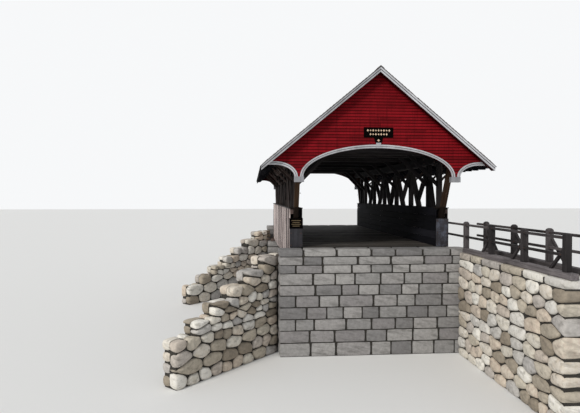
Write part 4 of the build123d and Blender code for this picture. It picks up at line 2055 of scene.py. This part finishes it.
@dataclass
class SignBoards:
    """Edge strips and plain ornament on the black boards, with no words."""

    border: float = 0.016
    margin: float = 0.022
    proud: float = 0.006
    let_in: float = 0.002
    drop: float = 0.170
    row_lift: float = 0.062
    spacing: float = 0.088
    boss_halves: tuple[Point, Point] = ((0.036, 0.046), (0.036, 0.034))
    low_boss_half: Point = (0.05, 0.045)
    boss_face: float = 0.6
    boss_tone: float = 0.6
    row_counts: tuple[int, int] = (9, 7)
    low_boss_at: float = 0.45
    line_count: int = 4
    line_shares: Point = (0.34, 0.26)
    line_margin: float = 0.085
    line_half: float = 0.008

    def frame_round(self, bm: Mesh, low: Vector, high: Vector, face: float) -> None:
        """Four strips round the edge of a board.

        Args:
            bm: The mesh.
            low: The board's low corner.
            high: Its high corner.
            face: The board's face.
        """
        x0, x1 = low.x + self.margin, high.x - self.margin
        z0, z1 = low.z + self.margin, high.z - self.margin
        spans = [
            (x0, x1, z0, z0 + self.border),
            (x0, x1, z1 - self.border, z1),
            (x0, x0 + self.border, z0 + self.border, z1 - self.border),
            (x1 - self.border, x1, z0 + self.border, z1 - self.border),
        ]
        for a, b, c, d in spans:
            corner = Vector((a, face - self.proud, c))
            size, place = between(corner, Vector((b, face + self.let_in, d)))
            add_block(bm, size, place, 0.5)

    def lozenge(self, bm: Mesh, x: float, z: float, half: Span, face: float) -> None:
        """A four-pointed boss.

        Args:
            bm: The mesh.
            x: Its middle across the road.
            z: Its middle's height.
            half: Half its width and half its height.
            face: The board's face.
        """
        ring = [(x - half[0], z), (x, z - half[1]), (x + half[0], z), (x, z + half[1])]
        back = [Vector((a, face + self.let_in, b)) for a, b in ring]
        top = [(x + (a - x) * self.boss_face, z + (b - z) * self.boss_face) for a, b in ring]
        front = [Vector((a, face - self.proud, b)) for a, b in top]
        skin(bm, [back, front], self.boss_tone, ACROSS)

    def lines(self, bm: Mesh, low: Vector, high: Vector) -> None:
        """Four thin level lines on a board.

        Args:
            bm: The mesh.
            low: The board's low corner.
            high: Its high corner.
        """
        middle = (low.x + high.x) / 2
        run = high.z - low.z - 2 * self.line_margin
        for i in range(self.line_count):
            z = high.z - self.line_margin - i * run / (self.line_count - 1)
            half = (high.x - low.x) * self.line_shares[i % 2]
            lower = Vector((middle - half, low.y - self.proud / 2, z - self.line_half))
            upper = Vector((middle + half, low.y + self.let_in, z + self.line_half))
            size, place = between(lower, upper)
            add_block(bm, size, place, 0.5)

    def build(self) -> None:
        """Lay the strips and the ornament."""
        strips = new_mesh()
        ornament = new_mesh()
        low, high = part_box("name_board")
        upper = Vector((low.x, low.y, low.z + self.drop))
        self.frame_round(strips, upper, high, low.y)
        middle = (upper.z + high.z) / 2
        for count, lift in zip(self.row_counts, (self.row_lift, -self.row_lift)):
            for i in range(count):
                x = (i - (count - 1) / 2) * self.spacing
                self.lozenge(ornament, x, middle + lift, self.boss_halves[i % 2], low.y)
        self.lozenge(ornament, 0.0, low.z + self.drop * self.low_boss_at, self.low_boss_half, low.y)
        low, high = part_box("notice_board")
        self.frame_round(strips, low, high, low.y)
        lines = new_mesh()
        self.lines(lines, low, high)
        for name, bm, finish in (
            ("board_strips", strips, Finish.BLACK_PAINT),
            ("board_ornament", ornament, Finish.GOLD_PAINT),
            ("board_lines", lines, Finish.DIM_GOLD),
        ):
            bmesh.ops.recalc_face_normals(bm, faces=bm.faces[:])
            make_piece(name, bm, finish)


@dataclass
class Ironwork:
    """Bolts through the chords, rails and panels, and nails in the side boards."""

    washer: float = 0.062
    head: float = 0.016
    plate: float = 0.008
    plate_lift: float = 0.003
    plate_edge: float = 0.001
    plate_tone: float = 0.4
    head_lift: float = 0.014
    head_height: float = 0.016
    head_taper: float = 0.85
    head_tone: float = 0.6
    chord_pair: Point = (0.05, 0.075)
    post_top: Point = (0.17, 0.14)
    post_foot: Point = (0.15, 1.25)
    panel_edge: float = 0.05
    panel_rows: tuple[float, ...] = (0.08, 0.5, 0.92)
    nail_radius: float = 0.0055
    nail_height: float = 0.004
    nail_top: float = 0.004
    nail_lift: float = 0.001
    nail_edge: float = 0.035

    def head_at(self, bm: Mesh, matrix: Matrix, radius: float, taper: float, depth: float) -> None:
        """A six-sided head.

        Args:
            bm: The mesh.
            matrix: Where its middle goes, and its turn.
            radius: Its radius at the timber.
            taper: Its radius at the top.
            depth: Its height.
        """
        bmesh.ops.create_cone(
            bm, cap_ends=True, segments=6, radius1=radius, radius2=taper, depth=depth, matrix=matrix
        )

    def bolt(self, bm: Mesh, place: Vector, out: Vector, size: float = 1.0) -> None:
        """A square washer and a six-sided head.

        Args:
            bm: The mesh.
            place: Where the bolt comes out of the timber.
            out: The way it points.
            size: Its size against the usual.
        """
        turn = out.to_track_quat("Z", "X").to_matrix().to_4x4()
        matrix = Matrix.Translation(place + out * self.plate_lift) @ turn
        square = (self.washer * size, self.washer * size, self.plate)
        add_block(bm, square, matrix, self.plate_tone, self.plate_edge)
        before = len(bm.faces)
        matrix = Matrix.Translation(place + out * self.head_lift) @ turn
        radius = self.head * size
        self.head_at(bm, matrix, radius, radius * self.head_taper, self.head_height)
        bm.faces.ensure_lookup_table()
        tone(bm, bm.faces[before:], self.head_tone)

    def build(self) -> None:
        """Set every bolt."""
        bm = new_mesh()
        for side in Side:
            out = Vector((side.value, 0.0, 0.0))
            chords = [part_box(f"{side.word}_{chord}") for chord in ("top_chord", "bottom_chord")]
            for chord in chords:
                for post_low, post_high in solids_of(f"{side.word}_truss_posts"):
                    for turn in (-1, 1):
                        y = (post_low.y + post_high.y) / 2 + turn * self.chord_pair[0]
                        z = (chord[0].z + chord[1].z) / 2 + turn * self.chord_pair[1]
                        if chord is chords[0]:
                            self.bolt(bm, Vector((side.outer(chord), y, z)), out)
                        self.bolt(bm, Vector((side.inner(chord), y, z)), -out)
            for low, high in solids_of(f"{side.word}_end_posts"):
                end = -1.0 if low.y < MID_SPAN else 1.0
                y = (low.y if end < 0 else high.y) - end * self.post_top[0]
                self.bolt(bm, Vector((side.inner(chords[0]), y, high.z - self.post_top[1])), -out)
                y = (low.y + high.y) / 2 + end * self.post_foot[0]
                z = low.z + self.post_foot[1]
                self.bolt(bm, Vector((side.inner((low, high)), y, z)), -out, 0.8)
        for low, high in solids_of("guard_panels"):
            end = -1.0 if low.y < MID_SPAN else 1.0
            face = low.y if end < 0 else high.y
            for x in (low.x + self.panel_edge, high.x - self.panel_edge):
                for share in self.panel_rows:
                    z = low.z + (high.z - low.z) * share
                    self.bolt(bm, Vector((x, face, z)), Vector((0.0, end, 0.0)), 0.5)
        for low, high in solids_of("rails"):
            z = (low.z + high.z) / 2
            for y in (low.y + self.panel_edge, high.y - self.panel_edge):
                self.bolt(bm, Vector((low.x, y, z)), Vector((-1.0, 0.0, 0.0)), 0.45)
        make_piece("bolts", bm, Finish.IRON)

    def nails(
        self, side: Side, boards: Sequence[tuple[float, float, float]], levels: Sequence[float]
    ) -> None:
        """Nails in the outer boards of one side.

        Args:
            side: Which side.
            boards: Each board's start, end and face.
            levels: The heights of the rows.
        """
        bm = new_mesh()
        out = Vector((side.value, 0.0, 0.0))
        turn = out.to_track_quat("Z", "X").to_matrix().to_4x4()
        for y0, y1, face in boards:
            for z in levels:
                for y in (y0 + self.nail_edge, y1 - self.nail_edge):
                    matrix = Matrix.Translation(Vector((face, y, z)) + out * self.nail_lift) @ turn
                    self.head_at(bm, matrix, self.nail_radius, self.nail_top, self.nail_height)
        make_piece(f"{side.word}_nails", bm, Finish.IRON)


@dataclass
class Studio:
    """The floor, the light and the camera."""

    camera_x: float = -4.064
    camera_back: float = 16.766
    camera_up: float = 1.728
    box_step: float = 0.015
    turn_right: float = math.radians(4.37)
    tilt_down: float = math.radians(1.10)
    lens: float = 30.48
    sensor: float = 36.0
    floor_size: float = 400.0
    key_strength: float = 2.1
    key_softness: float = math.radians(14.0)
    key_way: tuple[float, float, float] = (0.62, 0.66, -0.62)
    key_colour: Colour = (1.0, 0.965, 0.91)
    sky_strength: float = 0.55
    sky_colour: Colour = (0.93, 0.96, 1.0)
    backdrop: Colour = (0.93, 0.94, 0.95)

    def floor(self) -> None:
        """A wide pale floor at the foot of the walls."""
        bm = new_mesh()
        bmesh.ops.create_grid(bm, x_segments=1, y_segments=1, size=self.floor_size / 2)
        mesh = bpy.data.meshes.new("floor")
        bm.to_mesh(mesh)
        bm.free()
        mesh.materials.append(Finish.STUDIO_FLOOR.material())
        new_object("floor", mesh)

    def light(self) -> None:
        """A soft key from the left of the camera, and an even sky."""
        world = bpy.data.worlds.new("sky")
        world.use_nodes = True
        tree = world.node_tree
        tree.nodes.clear()
        output = tree.nodes.new("ShaderNodeOutputWorld")
        mix = tree.nodes.new("ShaderNodeMixShader")
        skies = ((self.sky_colour, self.sky_strength), (self.backdrop, 1.0))
        for socket, (colour, strength) in zip(mix.inputs[1:], skies):
            background = tree.nodes.new("ShaderNodeBackground")
            background.inputs["Color"].default_value = (*colour, 1.0)
            background.inputs["Strength"].default_value = strength
            tree.links.new(background.outputs[0], socket)
        path = tree.nodes.new("ShaderNodeLightPath")
        looks = path.outputs["Is Camera Ray"]
        for ray in ("Is Glossy Ray", "Is Transmission Ray"):
            either = tree.nodes.new("ShaderNodeMath")
            either.operation = "MAXIMUM"
            tree.links.new(looks, either.inputs[0])
            tree.links.new(path.outputs[ray], either.inputs[1])
            looks = either.outputs[0]
        tree.links.new(looks, mix.inputs[0])
        tree.links.new(mix.outputs[0], output.inputs["Surface"])
        bpy.context.scene.world = world
        key = bpy.data.lights.new("key", "SUN")
        key.energy = self.key_strength
        key.angle = self.key_softness
        key.color = self.key_colour
        lamp = new_object("key", key)
        lamp.rotation_euler = Vector(self.key_way).to_track_quat("-Z", "Y").to_euler()

    def camera(self) -> None:
        """The camera where the photograph was taken from."""
        floor_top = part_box("floor_deck")[1].z
        near_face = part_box("left_end_boxes")[0].y + self.box_step
        data = bpy.data.cameras.new("view")
        data.lens = self.lens
        data.sensor_width = self.sensor
        data.clip_end = 500.0
        camera = new_object("view", data)
        camera.location = (self.camera_x, near_face - self.camera_back, floor_top + self.camera_up)
        level = Vector((math.sin(self.turn_right), math.cos(self.turn_right), 0.0))
        ahead = level * math.cos(self.tilt_down) - Vector((0.0, 0.0, math.sin(self.tilt_down)))
        camera.rotation_euler = ahead.to_track_quat("-Z", "Y").to_euler()
        bpy.context.scene.camera = camera

    def build(self) -> None:
        """Set the stage."""
        self.floor()
        self.light()
        self.camera()
        bpy.context.scene.view_settings.view_transform = "Standard"


def main() -> None:
    """Build the bridge's dress in order."""
    logging.basicConfig(level=logging.INFO, format="%(name)s: %(message)s")
    noise.seed_set(NOISE_SEED)
    steps: list[tuple[str, Callable[[], None]]] = [
        ("timbers", DressedTimbers().build),
        ("sign boards", SignBoards().build),
        ("ironwork", Ironwork().build),
        ("deck", Deck().build),
        ("masonry", Masonry().build),
        ("ridge", RidgeCap().build),
    ]
    for end in End:
        steps.append((f"{end.word} gable", Gable(end).build))
        steps.append((f"{end.word} trim", ArchTrim(end).build))
    for side in Side:
        steps.append((f"{side.word} roof", Roof(side).build))
        steps.append((f"{side.word} boards", SideBoards(side).build))
    steps.append(("studio", Studio().build))
    for name, step in steps:
        LOG.info("building %s", name)
        step()


if __name__ == "__main__":
    main()
